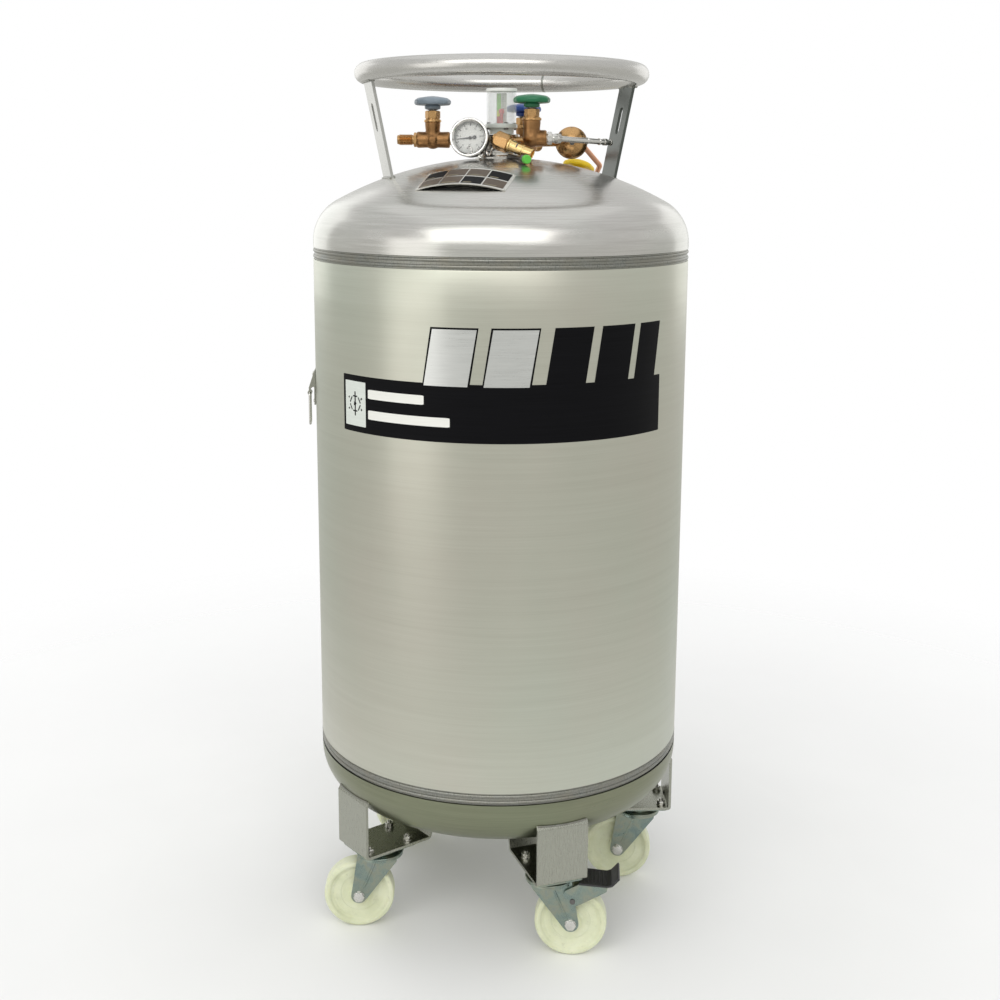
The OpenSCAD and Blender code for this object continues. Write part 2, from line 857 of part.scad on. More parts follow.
// The fixed half of a caster: top plate, swivel cup and kingpin
module caster_top_plate() {
    difference() {
        union() {
            translate([-plate_size.x / 2, -plate_size.y / 2, plate_z - plate_t])
                cube([plate_size.x, plate_size.y, plate_t]);
            translate([0, 0, fork_top + 0.4])
                cylinder(r1 = cup_r + 4, r2 = cup_r, h = plate_z - fork_top - 1);
            translate([0, 0, fork_top - fork_t - 5]) cylinder(r = kingpin_r, h = 14);
            translate([0, 0, fork_top - fork_t - 5.4]) cylinder(r = kingpin_r + 4, h = 5);
        }
        for (x = [-1, 1], y = [-1, 1])
            translate([x * bolt_step.x / 2, y * bolt_step.y / 2, plate_z - 20])
                cylinder(r = bolt_r, h = 40);
    }
}

module caster_top_plates() {
    color("lightsteelblue") for (i = [0 : casters - 1]) at_swivel(i) caster_top_plate();
}

// Bolt head under the top plate, nut and washer on the bracket
module caster_bolt() {
    low = plate_z - plate_t;
    top = plate_z + bracket_t;
    translate([0, 0, low - 3]) cylinder(r = 6, h = 3);
    translate([0, 0, low - 3]) cylinder(r = bolt_r, h = top - low + 15);
    translate([0, 0, top]) cylinder(r = 8.5, h = 1.6);
    translate([0, 0, top + 1.6]) hexagon(7.5, 6.5);
}

module caster_bolts() {
    color("silver") for (i = [0 : casters - 1]) at_swivel(i)
        for (x = [-1, 1], y = [-1, 1])
            translate([x * bolt_step.x / 2, y * bolt_step.y / 2, 0]) caster_bolt();
}

// Stands its children on swivel axis i with +X along the caster's trail
module caster_frame(i) {
    rotate([0, 0, caster_az[i] - 90]) translate([swivel_r, 0, 0])
        rotate([0, 0, caster_heading[i] - caster_az[i] + 90]) children();
}

// The cheek's outline, in the plane of trail and height
module cheek_outline() {
    end_r = 14;
    polygon(concat(
        [[crown_disc_x - crown_disc_r + 4, fork_top - 1],
         [crown_disc_x - crown_disc_r + 5, fork_top - 14]],
        [for (a = [215 : 15 : 365]) [trail + end_r * cos(a), wheel_r + end_r * sin(a)]],
        [[crown_disc_x + crown_disc_r - 2, fork_top - 16],
         [crown_disc_x + crown_disc_r - 4, fork_top - 1]]
    ));
}

module caster_fork(i, braked) {
    color("lightslategray") caster_frame(i) {
        difference() {
            union() {
                translate([crown_disc_x, 0, fork_top - fork_t])
                    cylinder(r = crown_disc_r, h = fork_t);
                for (side = [-1, 1])
                    translate([0, side * (cheek_in + cheek_t / 2) + cheek_t / 2, 0])
                        rotate([90, 0, 0]) linear_extrude(cheek_t) cheek_outline();
            }
            translate([0, 0, fork_top - fork_t - e])
                cylinder(r = kingpin_r + run_gap, h = fork_t + 2 * e);
            translate([trail, 50, wheel_r]) rotate([90, 0, 0]) cylinder(r = axle_r, h = 100);
            if (braked) translate([pedal_pivot.x, 50, pedal_pivot.y]) rotate([90, 0, 0])
                cylinder(r = pedal_pin_r, h = 100);
        }
        // axle bolt with its head and nut
        translate([trail, 0, wheel_r]) rotate([90, 0, 0]) {
            translate([0, 0, -cheek_in - cheek_t - 1]) cylinder(r = axle_r, h = 2 * (cheek_in + cheek_t) + 2);
            translate([0, 0, cheek_in + cheek_t]) hexagon(10, 5);
            translate([0, 0, -cheek_in - cheek_t - 6]) hexagon(10, 6);
        }
        if (braked) for (side = [0, 180])
            translate([pedal_pivot.x, 0, pedal_pivot.y]) rotate([90, 0, side]) {
                translate([0, 0, cheek_in - 1]) cylinder(r = pedal_pin_r, h = cheek_t + 5.4);
                translate([0, 0, pedal_w / 2 + 0.3]) cylinder(r = pedal_pin_r + 2, h = 1.6);
            }
    }
}

module caster_wheel(i) {
    half = tread_w / 2;
    color("lemonchiffon") caster_frame(i) translate([trail, 0, wheel_r]) rotate([90, 0, 0])
        rotate_extrude($fn = 96)
            polygon(concat(
                [[axle_r + run_gap, -19], [15, -19], [17, -17], [19, -11], [50, -11],
                 [53, -13], [54, -half + 1], [55, -half]],
                [[wheel_r - 4, -half], [wheel_r - 1.2, -half + 1.2], [wheel_r, -half + 4]],
                [[wheel_r, half - 4], [wheel_r - 1.2, half - 1.2], [wheel_r - 4, half]],
                [[55, half], [54, half - 1], [53, 13], [50, 11], [19, 11], [17, 17],
                 [15, 19], [axle_r + run_gap, 19]]
            ));
}

// Pressed pedal that straddles the fork, tips about two rivets and grips the tread
module brake_pedal() {
    face = cheek_in + cheek_t + 0.4;
    color("slategray") caster_frame(0) difference() {
        union() {
            for (side = [-1, 1])
                translate([0, side * (face + pedal_w / 2) / 2 + (pedal_w / 2 - face) / 2, 0])
                    rotate([90, 0, 0]) linear_extrude(pedal_w / 2 - face)
                        polygon([[24, 122], [30, 103], [40, 100], [50, 101], [98, 128], [100, 136],
                                 [50.5, 140], [28, 128]]);
            translate([0, pedal_w / 2, 0]) rotate([90, 0, 0]) linear_extrude(pedal_w)
                polygon([[50.5, 143], [50.5, 139], [99, 136], [108, 138], [121, 152],
                         [118, 155], [106, 141.5], [99, 139]]);
            translate([0, 12, 0]) rotate([90, 0, 0]) linear_extrude(24)
                polygon([[60, 140], [60, 127.4], [62, 126.4], [78, 119.4], [80, 120.4], [80, 138]]);
        }
        translate([pedal_pivot.x, 50, pedal_pivot.y]) rotate([90, 0, 0])
            cylinder(r = pedal_pin_r + run_gap, h = 100);
    }
}

outer_shell();
top_head();
bottom_head();
girth_welds();
neck_collar();
inner_vessel();
insulation_wrap();
neck_tube();
bottom_support();
pressure_coil();
dip_tube();
handling_ring();
ring_support_left();
ring_support_right();
manifold_block();
pipe_fittings();
vent_valve_body();
gas_valve_body();
liquid_valve_body();
build_valve_body();
bonnet_nuts();
gauge_case();
gauge_bezel();
gauge_dial();
gauge_lens();
level_fittings();
level_sleeve();
level_scale();
relief_valve();
regulator();
build_line();
steel_line();
port_cap();
instruction_plate();
front_label();
side_bracket();
caster_brackets();
caster_top_plates();
caster_bolts();
level_float();
vent_handwheel();
gas_handwheel();
liquid_handwheel();
build_handwheel();
gauge_needle();
regulator_screw();
hanging_link();
brake_pedal();
caster_fork(0, true);  // caster_fork_1
caster_fork(1, false);  // caster_fork_2
caster_fork(2, false);  // caster_fork_3
caster_fork(3, false);  // caster_fork_4
caster_fork(4, false);  // caster_fork_5
caster_wheel(0);  // caster_wheel_1
caster_wheel(1);  // caster_wheel_2
caster_wheel(2);  // caster_wheel_3
caster_wheel(3);  // caster_wheel_4
caster_wheel(4);  // caster_wheel_5
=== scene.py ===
import math

import bpy
import bmesh
from mathutils import Matrix, Vector, noise as mnoise


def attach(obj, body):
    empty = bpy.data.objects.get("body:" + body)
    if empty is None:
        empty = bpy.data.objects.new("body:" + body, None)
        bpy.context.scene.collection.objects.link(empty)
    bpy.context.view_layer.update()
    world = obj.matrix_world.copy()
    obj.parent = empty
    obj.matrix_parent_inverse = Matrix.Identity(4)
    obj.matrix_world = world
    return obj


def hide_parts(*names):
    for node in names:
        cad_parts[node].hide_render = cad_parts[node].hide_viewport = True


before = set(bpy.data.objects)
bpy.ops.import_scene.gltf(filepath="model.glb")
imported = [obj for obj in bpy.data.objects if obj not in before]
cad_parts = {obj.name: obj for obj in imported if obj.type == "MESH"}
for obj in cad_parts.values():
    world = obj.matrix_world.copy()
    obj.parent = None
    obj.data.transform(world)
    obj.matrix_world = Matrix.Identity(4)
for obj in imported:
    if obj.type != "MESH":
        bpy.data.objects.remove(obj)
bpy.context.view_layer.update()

scene = bpy.context.scene
MM = 0.001

# ---------------------------------------------------------------- placing

def shift(x, y, z):
    return Matrix.Translation((x, y, z))


def turn(degrees, axis):
    return Matrix.Rotation(math.radians(degrees), 4, axis)


def at_az(az):
    """+X points away from the vessel's axis at az, from the front towards the right."""
    return turn(az - 90, "Z")


def cosd(a):
    return math.cos(math.radians(a))


def sind(a):
    return math.sin(math.radians(a))


# ---------------------------------------------------------------- camera and studio

def look(place, pitch_down, roll, yaw, lens, lift):
    fwd = Vector((sind(yaw) * cosd(pitch_down), cosd(yaw) * cosd(pitch_down), -sind(pitch_down)))
    right = Vector((cosd(yaw), -sind(yaw), 0))
    up = right.cross(fwd)
    r2 = right * cosd(roll) + up * sind(roll)
    u2 = up * cosd(roll) - right * sind(roll)
    data = bpy.data.cameras.new("camera")
    data.sensor_width = 36
    data.lens = lens
    data.shift_y = lift
    cam = bpy.data.objects.new("camera", data)
    cam.matrix_world = Matrix(((r2.x, u2.x, -fwd.x, place[0]), (r2.y, u2.y, -fwd.y, place[1]),
                               (r2.z, u2.z, -fwd.z, place[2]), (0, 0, 0, 1)))
    scene.collection.objects.link(cam)
    scene.camera = cam


look((0, -2.414, 1.341), 10.44, 0.285, 0.0, 48.65, -0.08)


def softbox(name, place, aim, size, power, tint=(1, 1, 1)):
    data = bpy.data.lights.new(name, "AREA")
    data.shape = "RECTANGLE"
    data.size, data.size_y = size
    data.energy = power
    data.color = tint
    ob = bpy.data.objects.new(name, data)
    ob.location = place
    ob.rotation_mode = "QUATERNION"
    ob.rotation_quaternion = (Vector(aim) - Vector(place)).to_track_quat("-Z", "Y")
    scene.collection.objects.link(ob)


softbox("key", (-0.5, -3.8, 3.6), (0, 0, 1.0), (6.0, 2.4), 80, (1, 0.99, 0.97))
softbox("fill", (-3.2, -2.6, 1.2), (0, 0, 0.7), (2.4, 2.6), 16, (1, 0.98, 0.96))
softbox("top", (0.0, 0.2, 4.2), (0, 0, 1.2), (4.4, 4.0), 12)
softbox("back_left", (-2.4, 3.0, 2.0), (0, 0, 0.8), (2.6, 2.6), 14)
softbox("back_right", (2.6, 3.2, 1.8), (0, 0, 0.8), (2.4, 2.4), 10)


def set_stops(elements, stops):
    """Fills a colour ramp: two stops are there already, and the rest are added between them."""
    for element, (at, tone) in zip(elements, (stops[0], stops[-1])):
        element.position, element.color = at, (*tone, 1)
    for at, tone in stops[1:-1]:
        elements.new(at).color = (*tone, 1)


def make_world():
    """White behind the object; softer and a little uneven where the metal reflects it."""
    world = bpy.data.worlds.new("studio")
    scene.world = world
    world.use_nodes = True
    tree = world.node_tree
    tree.nodes.clear()
    kinds = ("OutputWorld", "MixShader", "LightPath", "Background", "Background", "TexCoord", "SeparateXYZ",
             "MapRange", "ValToRGB")
    out, mix, path, seen, lit, coord, split, half, ramp = (tree.nodes.new("ShaderNode" + k) for k in kinds)
    seen.inputs["Color"].default_value = (1, 1, 1, 1)
    lit.inputs["Strength"].default_value = 0.84
    half.inputs["From Min"].default_value = -1
    set_stops(ramp.color_ramp.elements, ((0.0, (0.74, 0.74, 0.70)), (0.44, (0.80, 0.80, 0.76)),
                                         (0.55, (0.90, 0.90, 0.87)), (1.0, (0.96, 0.97, 0.97))))
    for a, b in ((coord.outputs["Generated"], split.inputs[0]), (split.outputs["Z"], half.inputs["Value"]),
                 (half.outputs["Result"], ramp.inputs["Fac"]), (ramp.outputs["Color"], lit.inputs["Color"]),
                 (path.outputs["Is Camera Ray"], mix.inputs["Fac"]), (lit.outputs[0], mix.inputs[1]),
                 (seen.outputs[0], mix.inputs[2]), (mix.outputs[0], out.inputs["Surface"])):
        tree.links.new(a, b)


make_world()
scene.view_settings.view_transform = "Standard"

# ---------------------------------------------------------------- materials

FINISHES = {}


class Finish:
    """A procedural material. Its textures read object coordinates, which are the row frame at rest."""

    def __init__(self, name, **fixed):
        self.m = bpy.data.materials.new(name)
        self.m.use_nodes = True
        self.t = self.m.node_tree
        self.b = self.t.nodes["Principled BSDF"]
        for key, value in fixed.items():
            self.b.inputs[key.replace("_", " ")].default_value = value
        self.where = self.t.nodes.new("ShaderNodeTexCoord").outputs["Object"]
        FINISHES[name] = self

    def node(self, kind, **set_to):
        n = self.t.nodes.new(kind)
        for key, value in set_to.items():
            setattr(n, key, value)
        return n

    def join(self, a, b):
        self.t.links.new(a, b)

    def stretched(self, *scale):
        n = self.node("ShaderNodeMapping")
        n.inputs["Scale"].default_value = scale
        self.join(self.where, n.inputs["Vector"])
        return n.outputs["Vector"]

    def around(self, along, across, up):
        """Coordinates that vary slowly round the vessel's axis, and faster outwards and upwards."""
        flat = self.node("ShaderNodeVectorMath", operation="MULTIPLY")
        flat.inputs[1].default_value = (1, 1, 0)
        self.join(self.where, flat.inputs[0])
        length = self.node("ShaderNodeVectorMath", operation="LENGTH")
        self.join(flat.outputs[0], length.inputs[0])
        unit = self.node("ShaderNodeVectorMath", operation="NORMALIZE")
        self.join(flat.outputs[0], unit.inputs[0])
        swung = self.node("ShaderNodeVectorMath", operation="SCALE")
        swung.inputs["Scale"].default_value = along
        self.join(unit.outputs[0], swung.inputs[0])
        split = self.node("ShaderNodeSeparateXYZ")
        self.join(self.where, split.inputs[0])
        out = self.math("MULTIPLY", length.outputs["Value"], across)
        rise = self.math("MULTIPLY", split.outputs["Z"], up)
        both = self.math("ADD", out, rise)
        made = self.node("ShaderNodeCombineXYZ")
        self.join(both, made.inputs["Z"])
        total = self.node("ShaderNodeVectorMath", operation="ADD")
        self.join(swung.outputs[0], total.inputs[0])
        self.join(made.outputs[0], total.inputs[1])
        return total.outputs[0]

    def math(self, operation, a, b):
        n = self.node("ShaderNodeMath", operation=operation)
        for i, v in enumerate((a, b)):
            if isinstance(v, (int, float)):
                n.inputs[i].default_value = v
            else:
                self.join(v, n.inputs[i])
        return n.outputs[0]

    def noise(self, where, detail=3, rough=0.55, distortion=0.0):
        """Noise over coordinates, or over the object's own at one even scale."""
        if isinstance(where, (int, float)):
            where = self.stretched(where, where, where)
        n = self.node("ShaderNodeTexNoise")
        n.inputs["Scale"].default_value = 1.0
        n.inputs["Detail"].default_value = detail
        n.inputs["Roughness"].default_value = rough
        n.inputs["Distortion"].default_value = distortion
        self.join(where, n.inputs["Vector"])
        return n.outputs["Fac"]

    def range(self, value, low, high, from_low=0.3, from_high=0.7):
        n = self.node("ShaderNodeMapRange")
        n.inputs["From Min"].default_value = from_low
        n.inputs["From Max"].default_value = from_high
        n.inputs["To Min"].default_value = low
        n.inputs["To Max"].default_value = high
        self.join(value, n.inputs["Value"])
        return n.outputs["Result"]

    def ramp(self, value, *stops):
        n = self.node("ShaderNodeValToRGB")
        set_stops(n.color_ramp.elements, stops)
        self.join(value, n.inputs["Fac"])
        return n.outputs["Color"]

    def mix(self, how_much, a, b, blend="MIX"):
        n = self.node("ShaderNodeMix", data_type="RGBA", blend_type=blend)
        for socket, v in ((n.inputs[0], how_much), (n.inputs[6], a), (n.inputs[7], b)):
            if isinstance(v, tuple):
                socket.default_value = (*v, 1)
            elif isinstance(v, (int, float)):
                socket.default_value = v
            else:
                self.join(v, socket)
        return n.outputs[2]

    def colour(self, socket):
        self.join(socket, self.b.inputs["Base Color"])

    def roughness(self, main, more=None):
        self.join(self.math("ADD", main, more) if more else main, self.b.inputs["Roughness"])

    def bump(self, height, strength, distance, after=None):
        n = self.node("ShaderNodeBump")
        n.inputs["Strength"].default_value = strength
        n.inputs["Distance"].default_value = distance
        self.join(height, n.inputs["Height"])
        if after is not None:
            self.join(after, n.inputs["Normal"])
        self.join(n.outputs["Normal"], self.b.inputs["Normal"])
        return n.outputs["Normal"]


def tones(base, spread):
    """A darker, the plain and a lighter tone of one colour."""
    return (tuple(c * (1 - spread) for c in base), base, tuple(min(1, c * (1 + spread)) for c in base))


def brushed(name, base, rough, grain, spread):
    """Metal with a fine directional grain. grain is the coordinate scale, largest across the lines."""
    f = Finish(name, Metallic=1.0)
    fine = f.noise(f.stretched(*grain), detail=4, rough=0.7)
    broad = f.noise(6.0, detail=3, rough=0.5)
    dark, mid, light = tones(base, spread)
    lined = f.ramp(fine, (0.3, dark), (0.5, mid), (0.72, light))
    dull = f.ramp(broad, (0.3, tuple(c * 0.93 for c in mid)), (0.7, mid))
    f.colour(f.mix(0.35, lined, dull))
    f.roughness(f.range(fine, rough - 0.05, rough + 0.06), f.range(broad, -0.02, 0.03))
    f.bump(fine, 0.25, 0.00005)


def turned(name, base, rough, spread=0.08):
    """Machined or plated metal: faint fine noise in its tone and gloss, with small scuffs."""
    f = Finish(name, Metallic=1.0)
    broad = f.noise(40, detail=4, rough=0.6)
    fine = f.noise(f.stretched(260, 260, 780), detail=3, rough=0.6)
    dark, mid, light = tones(base, spread)
    f.colour(f.mix(0.5, f.ramp(broad, (0.3, dark), (0.55, mid), (0.8, light)),
                   f.ramp(fine, (0.35, dark), (0.65, light))))
    f.roughness(f.range(broad, rough - 0.05, rough + 0.07), f.range(fine, -0.02, 0.04))
    f.bump(fine, 0.15, 0.00008)


def cast(name, base, rough, darker_tone):
    """Sand-cast bronze: grainy skin, darker in its hollows, brighter where it is handled."""
    f = Finish(name, Metallic=1.0)
    skin = f.noise(520, detail=5, rough=0.65)
    broad = f.noise(55, detail=4, rough=0.6)
    dark, mid, light = tones(base, 0.18)
    f.colour(f.mix(f.range(broad, 0.0, 0.75), f.ramp(skin, (0.3, dark), (0.5, mid), (0.75, light)), darker_tone))
    f.roughness(f.range(broad, rough - 0.06, rough + 0.12), f.range(skin, -0.04, 0.06))
    f.bump(broad, 0.2, 0.0006, f.bump(skin, 0.45, 0.0004))


def moulded(name, base, rough, spread, dust=(0.5, 0.48, 0.44)):
    """Plastic or enamel with a faint orange peel, uneven gloss and a trace of dust."""
    f = Finish(name, Metallic=0.0)
    peel = f.noise(900.0, detail=2, rough=0.5)
    broad = f.noise(30, detail=5, rough=0.65)
    dark, mid, light = tones(base, spread)
    plain = f.ramp(broad, (0.3, dark), (0.55, mid), (0.8, light))
    specks = f.noise(180, detail=6, rough=0.75)
    f.colour(f.mix(f.range(specks, 0.0, 0.22, 0.55, 0.8), plain, dust))
    f.roughness(f.range(broad, rough - 0.06, rough + 0.08), f.range(peel, -0.02, 0.03))
    f.bump(peel, 0.2, 0.00015)


def finish_shell():
    f = Finish("brushed_shell", Metallic=1.0)
    ring = f.around(1.6, 300, 950)
    fine = f.noise(ring, detail=6, rough=0.72)
    wide = f.noise(f.around(0.9, 40, 110), detail=4, rough=0.6)
    patch = f.noise(f.stretched(2.6, 2.6, 1.6), detail=3, rough=0.5)
    smear = f.noise(f.stretched(9, 9, 2.2), detail=4, rough=0.55, distortion=0.4)
    lined = f.ramp(fine, (0.32, (0.455, 0.455, 0.385)), (0.5, (0.535, 0.54, 0.465)),
                   (0.7, (0.62, 0.63, 0.555)))
    streak = f.ramp(wide, (0.3, (0.485, 0.485, 0.415)), (0.52, (0.545, 0.55, 0.475)),
                    (0.74, (0.595, 0.60, 0.53)))
    tint = f.ramp(patch, (0.34, (0.575, 0.54, 0.475)), (0.52, (0.545, 0.56, 0.48)),
                  (0.68, (0.525, 0.58, 0.50)))
    f.colour(f.mix(0.45, f.mix(0.5, lined, streak), tint))
    worn = f.range(smear, -0.03, 0.05)
    f.roughness(f.range(fine, 0.30, 0.40), worn)
    f.bump(wide, 0.05, 0.0004, f.bump(fine, 0.22, 0.00006))


def finish_head(name, darker_tone, duller):
    f = Finish(name, Metallic=1.0)
    fine = f.noise(f.around(2.2, 900, 250), detail=5, rough=0.7)
    wide = f.noise(f.around(1.4, 90, 40), detail=3, rough=0.55)
    patch = f.noise(5, detail=3, rough=0.5)
    lined = f.ramp(fine, (0.32, (0.47, 0.465, 0.44)), (0.5, (0.56, 0.555, 0.53)),
                   (0.7, (0.65, 0.645, 0.62)))
    warm = f.ramp(patch, (0.35, (0.60, 0.555, 0.545)), (0.65, (0.555, 0.57, 0.53)))
    f.colour(f.mix(1.0, f.mix(0.4, lined, warm), darker_tone, "MULTIPLY"))
    f.roughness(f.range(fine, 0.20 + duller, 0.27 + duller), f.range(wide, -0.03, 0.05))
    f.bump(wide, 0.03, 0.0004, f.bump(fine, 0.14, 0.00005))


def finish_weld():
    f = Finish("weld_band", Metallic=1.0)
    split = f.around(150, 0, 300)
    scale = f.noise(split, detail=3, rough=0.6)
    heat = f.noise(f.around(9, 60, 60), detail=4, rough=0.6)
    f.colour(f.mix(f.range(heat, 0.1, 0.9), f.ramp(scale, (0.3, (0.16, 0.17, 0.16)),
                                                   (0.7, (0.34, 0.35, 0.33))), (0.27, 0.26, 0.22)))
    f.roughness(f.range(scale, 0.26, 0.42))
    f.bump(scale, 0.5, 0.0006)


def finish_nylon():
    f = Finish("nylon_cream", Metallic=0.0)
    f.b.inputs["Subsurface Weight"].default_value = 0.25
    f.b.inputs["Subsurface Radius"].default_value = (0.9, 0.8, 0.5)
    f.b.inputs["Subsurface Scale"].default_value = 0.003
    broad = f.noise(24, detail=4, rough=0.6)
    peel = f.noise(420, detail=3, rough=0.6)
    dirt = f.noise(75, detail=7, rough=0.78)
    plain = f.ramp(broad, (0.3, (0.62, 0.65, 0.44)), (0.55, (0.71, 0.735, 0.53)), (0.8, (0.78, 0.80, 0.62)))
    f.colour(f.mix(f.range(dirt, 0.0, 0.5, 0.56, 0.8), plain, (0.36, 0.34, 0.26)))
    f.roughness(f.range(broad, 0.36, 0.5), f.range(peel, -0.03, 0.04))
    f.bump(peel, 0.25, 0.0002)


def finish_zinc():
    """Blue-passivated zinc: grey-blue with a faint yellow and green bloom."""
    f = Finish("zinc_plate", Metallic=1.0)
    bloom = f.noise(38, detail=4, rough=0.55, distortion=0.6)
    fine = f.noise(500, detail=3, rough=0.6)
    tint = f.ramp(bloom, (0.28, (0.20, 0.27, 0.26)), (0.45, (0.26, 0.32, 0.28)),
                  (0.6, (0.32, 0.34, 0.27)), (0.76, (0.25, 0.31, 0.31)))
    f.colour(f.mix(f.range(fine, 0.0, 0.3), tint, (0.20, 0.22, 0.20)))
    f.roughness(f.range(bloom, 0.24, 0.34), f.range(fine, -0.02, 0.05))
    f.bump(fine, 0.2, 0.00012)


def finish_clear(name, tint, rough, ior, alpha):
    """Thin clear plastic or glass: mostly see-through, with the gloss of its surface."""
    f = Finish(name, Metallic=0.0, IOR=ior)
    f.b.inputs["Alpha"].default_value = alpha
    haze = f.noise(f.stretched(160, 160, 40), detail=5, rough=0.7)
    f.roughness(f.range(haze, rough, rough + 0.06, 0.4, 0.75))
    f.colour(f.ramp(haze, (0.3, tint), (0.75, tuple(c * 0.93 for c in tint))))
    f.bump(haze, 0.03, 0.0002)


def finish_film(name, base, rough, spread=0.25, shine=0.5):
    f = Finish(name, Metallic=0.0)
    f.b.inputs["Specular IOR Level"].default_value = shine
    ring = f.noise(f.around(2.0, 200, 700), detail=5, rough=0.7)
    broad = f.noise(14, detail=5, rough=0.6)
    dark, mid, light = tones(base, spread)
    f.colour(f.mix(f.range(broad, 0.0, 0.6), f.ramp(ring, (0.35, dark), (0.65, light)), mid))
    f.roughness(f.range(broad, rough - 0.04, rough + 0.08), f.range(ring, -0.02, 0.03))
    f.bump(ring, 0.12, 0.00006)


def make_finishes():
    finish_shell()
    finish_head("polished_head", (1, 1, 1), 0.0)
    finish_weld()
    brushed("ring_tube", (0.57, 0.56, 0.54), 0.26, (70, 70, 900), 0.10)
    # support_shaded is the support bar's brushed steel made nearly black: painted shade for the right
    # support
    brushed("support_shaded", (0.10, 0.11, 0.10), 0.34, (900, 900, 40), 0.12)
    brushed("support_bar", (0.46, 0.46, 0.44), 0.28, (900, 900, 40), 0.12)
    turned("inner_steel", (0.60, 0.59, 0.57), 0.3)
    moulded("insulation", (0.78, 0.78, 0.74), 0.4, 0.1)
    moulded("support_laminate", (0.52, 0.36, 0.18), 0.5, 0.12)
    turned("copper", (0.72, 0.38, 0.24), 0.3, 0.15)
    cast("bronze", (0.40, 0.215, 0.09), 0.34, (0.20, 0.105, 0.045))
    turned("bronze_turned", (0.56, 0.335, 0.145), 0.24, 0.16)
    turned("bright_brass", (0.83, 0.60, 0.27), 0.2, 0.12)
    turned("fitting_steel", (0.66, 0.65, 0.62), 0.22, 0.1)
    turned("dark_steel", (0.16, 0.155, 0.15), 0.36, 0.2)
    moulded("gauge_black", (0.022, 0.022, 0.024), 0.34, 0.2, (0.12, 0.12, 0.11))
    turned("gauge_chrome", (0.80, 0.79, 0.77), 0.12, 0.05)
    moulded("dial_white", (0.86, 0.86, 0.83), 0.42, 0.03, (0.75, 0.74, 0.68))
    moulded("ink", (0.018, 0.018, 0.018), 0.5, 0.2, (0.05, 0.05, 0.05))
    finish_clear("gauge_glass", (0.95, 0.97, 0.97), 0.03, 1.5, 0.10)
    moulded("needle_black", (0.02, 0.02, 0.02), 0.4, 0.2, (0.08, 0.08, 0.08))
    moulded("level_white", (0.80, 0.81, 0.78), 0.35, 0.05, (0.5, 0.5, 0.46))
    finish_clear("clear_sleeve", (0.86, 0.90, 0.88), 0.05, 1.49, 0.20)
    moulded("scale_white", (0.80, 0.80, 0.76), 0.5, 0.03)
    moulded("scale_green", (0.22, 0.62, 0.06), 0.45, 0.08)
    moulded("scale_yellow", (0.75, 0.80, 0.05), 0.45, 0.08)
    moulded("scale_red", (0.62, 0.05, 0.04), 0.45, 0.08)
    moulded("float_red", (0.60, 0.04, 0.04), 0.35, 0.1)
    moulded("cap_green", (0.11, 0.55, 0.06), 0.38, 0.1, (0.3, 0.5, 0.2))
    moulded("wheel_grey_blue", (0.22, 0.27, 0.32), 0.36, 0.12, (0.5, 0.52, 0.52))
    moulded("wheel_green", (0.012, 0.17, 0.07), 0.3, 0.15, (0.16, 0.3, 0.2))
    moulded("wheel_blue", (0.02, 0.07, 0.30), 0.3, 0.15, (0.2, 0.25, 0.4))
    moulded("wheel_yellow", (0.86, 0.60, 0.01), 0.32, 0.1, (0.7, 0.55, 0.2))
    brushed("plate_silver", (0.70, 0.69, 0.65), 0.22, (60, 900, 60), 0.08)
    finish_film("plate_brown", (0.075, 0.05, 0.03), 0.4)
    finish_film("plate_olive", (0.20, 0.17, 0.10), 0.4)
    finish_film("film_black", (0.004, 0.004, 0.005), 0.42, 0.4, 0.07)
    finish_film("film_white", (0.80, 0.80, 0.76), 0.38, 0.04)
    brushed("film_silver", (0.66, 0.67, 0.66), 0.3, (20, 20, 700), 0.08)
    finish_film("film_pale", (0.66, 0.70, 0.66), 0.38, 0.06)
    brushed("bracket_steel", (0.36, 0.365, 0.315), 0.27, (700, 700, 60), 0.14)
    finish_zinc()
    finish_nylon()
    moulded("clear_base", (0.66, 0.70, 0.66), 0.18, 0.1, (0.5, 0.5, 0.46))
    # the lower head's colour is multiplied by a dark yellow-green tone, far darker than the top head
    finish_head("dull_head", (0.40, 0.43, 0.31), 0.08)


make_finishes()

# ---------------------------------------------------------------- mesh tools, in millimetres

def softened(points, closed=False, steps=4):
    """(x, y) or (x, y, fillet radius) corners as a polyline with round corners."""
    n = len(points)
    out = []
    for i, p in enumerate(points):
        r = p[2] if len(p) > 2 else 0
        if r <= 0 or (not closed and i in (0, n - 1)):
            out.append((p[0], p[1]))
            continue
        c = Vector(p[:2])
        a = Vector(points[i - 1][:2]) - c
        b = Vector(points[(i + 1) % n][:2]) - c
        if a.length < 1e-6 or b.length < 1e-6:
            out.append((p[0], p[1]))
            continue
        half = a.angle(b) / 2
        if half > math.radians(88):
            out.append((p[0], p[1]))
            continue
        t = min(r / math.tan(half), 0.48 * a.length, 0.48 * b.length)
        s, e = c + a.normalized() * t, c + b.normalized() * t
        for k in range(steps + 1):
            u = k / steps
            q = s * (1 - u) ** 2 + c * 2 * u * (1 - u) + e * u * u
            out.append((q.x, q.y))
    return out


def arc(cx, cy, r, a0, a1, steps):
    return [(cx + r * cosd(a0 + (a1 - a0) * k / steps),
             cy + r * sind(a0 + (a1 - a0) * k / steps)) for k in range(steps + 1)]


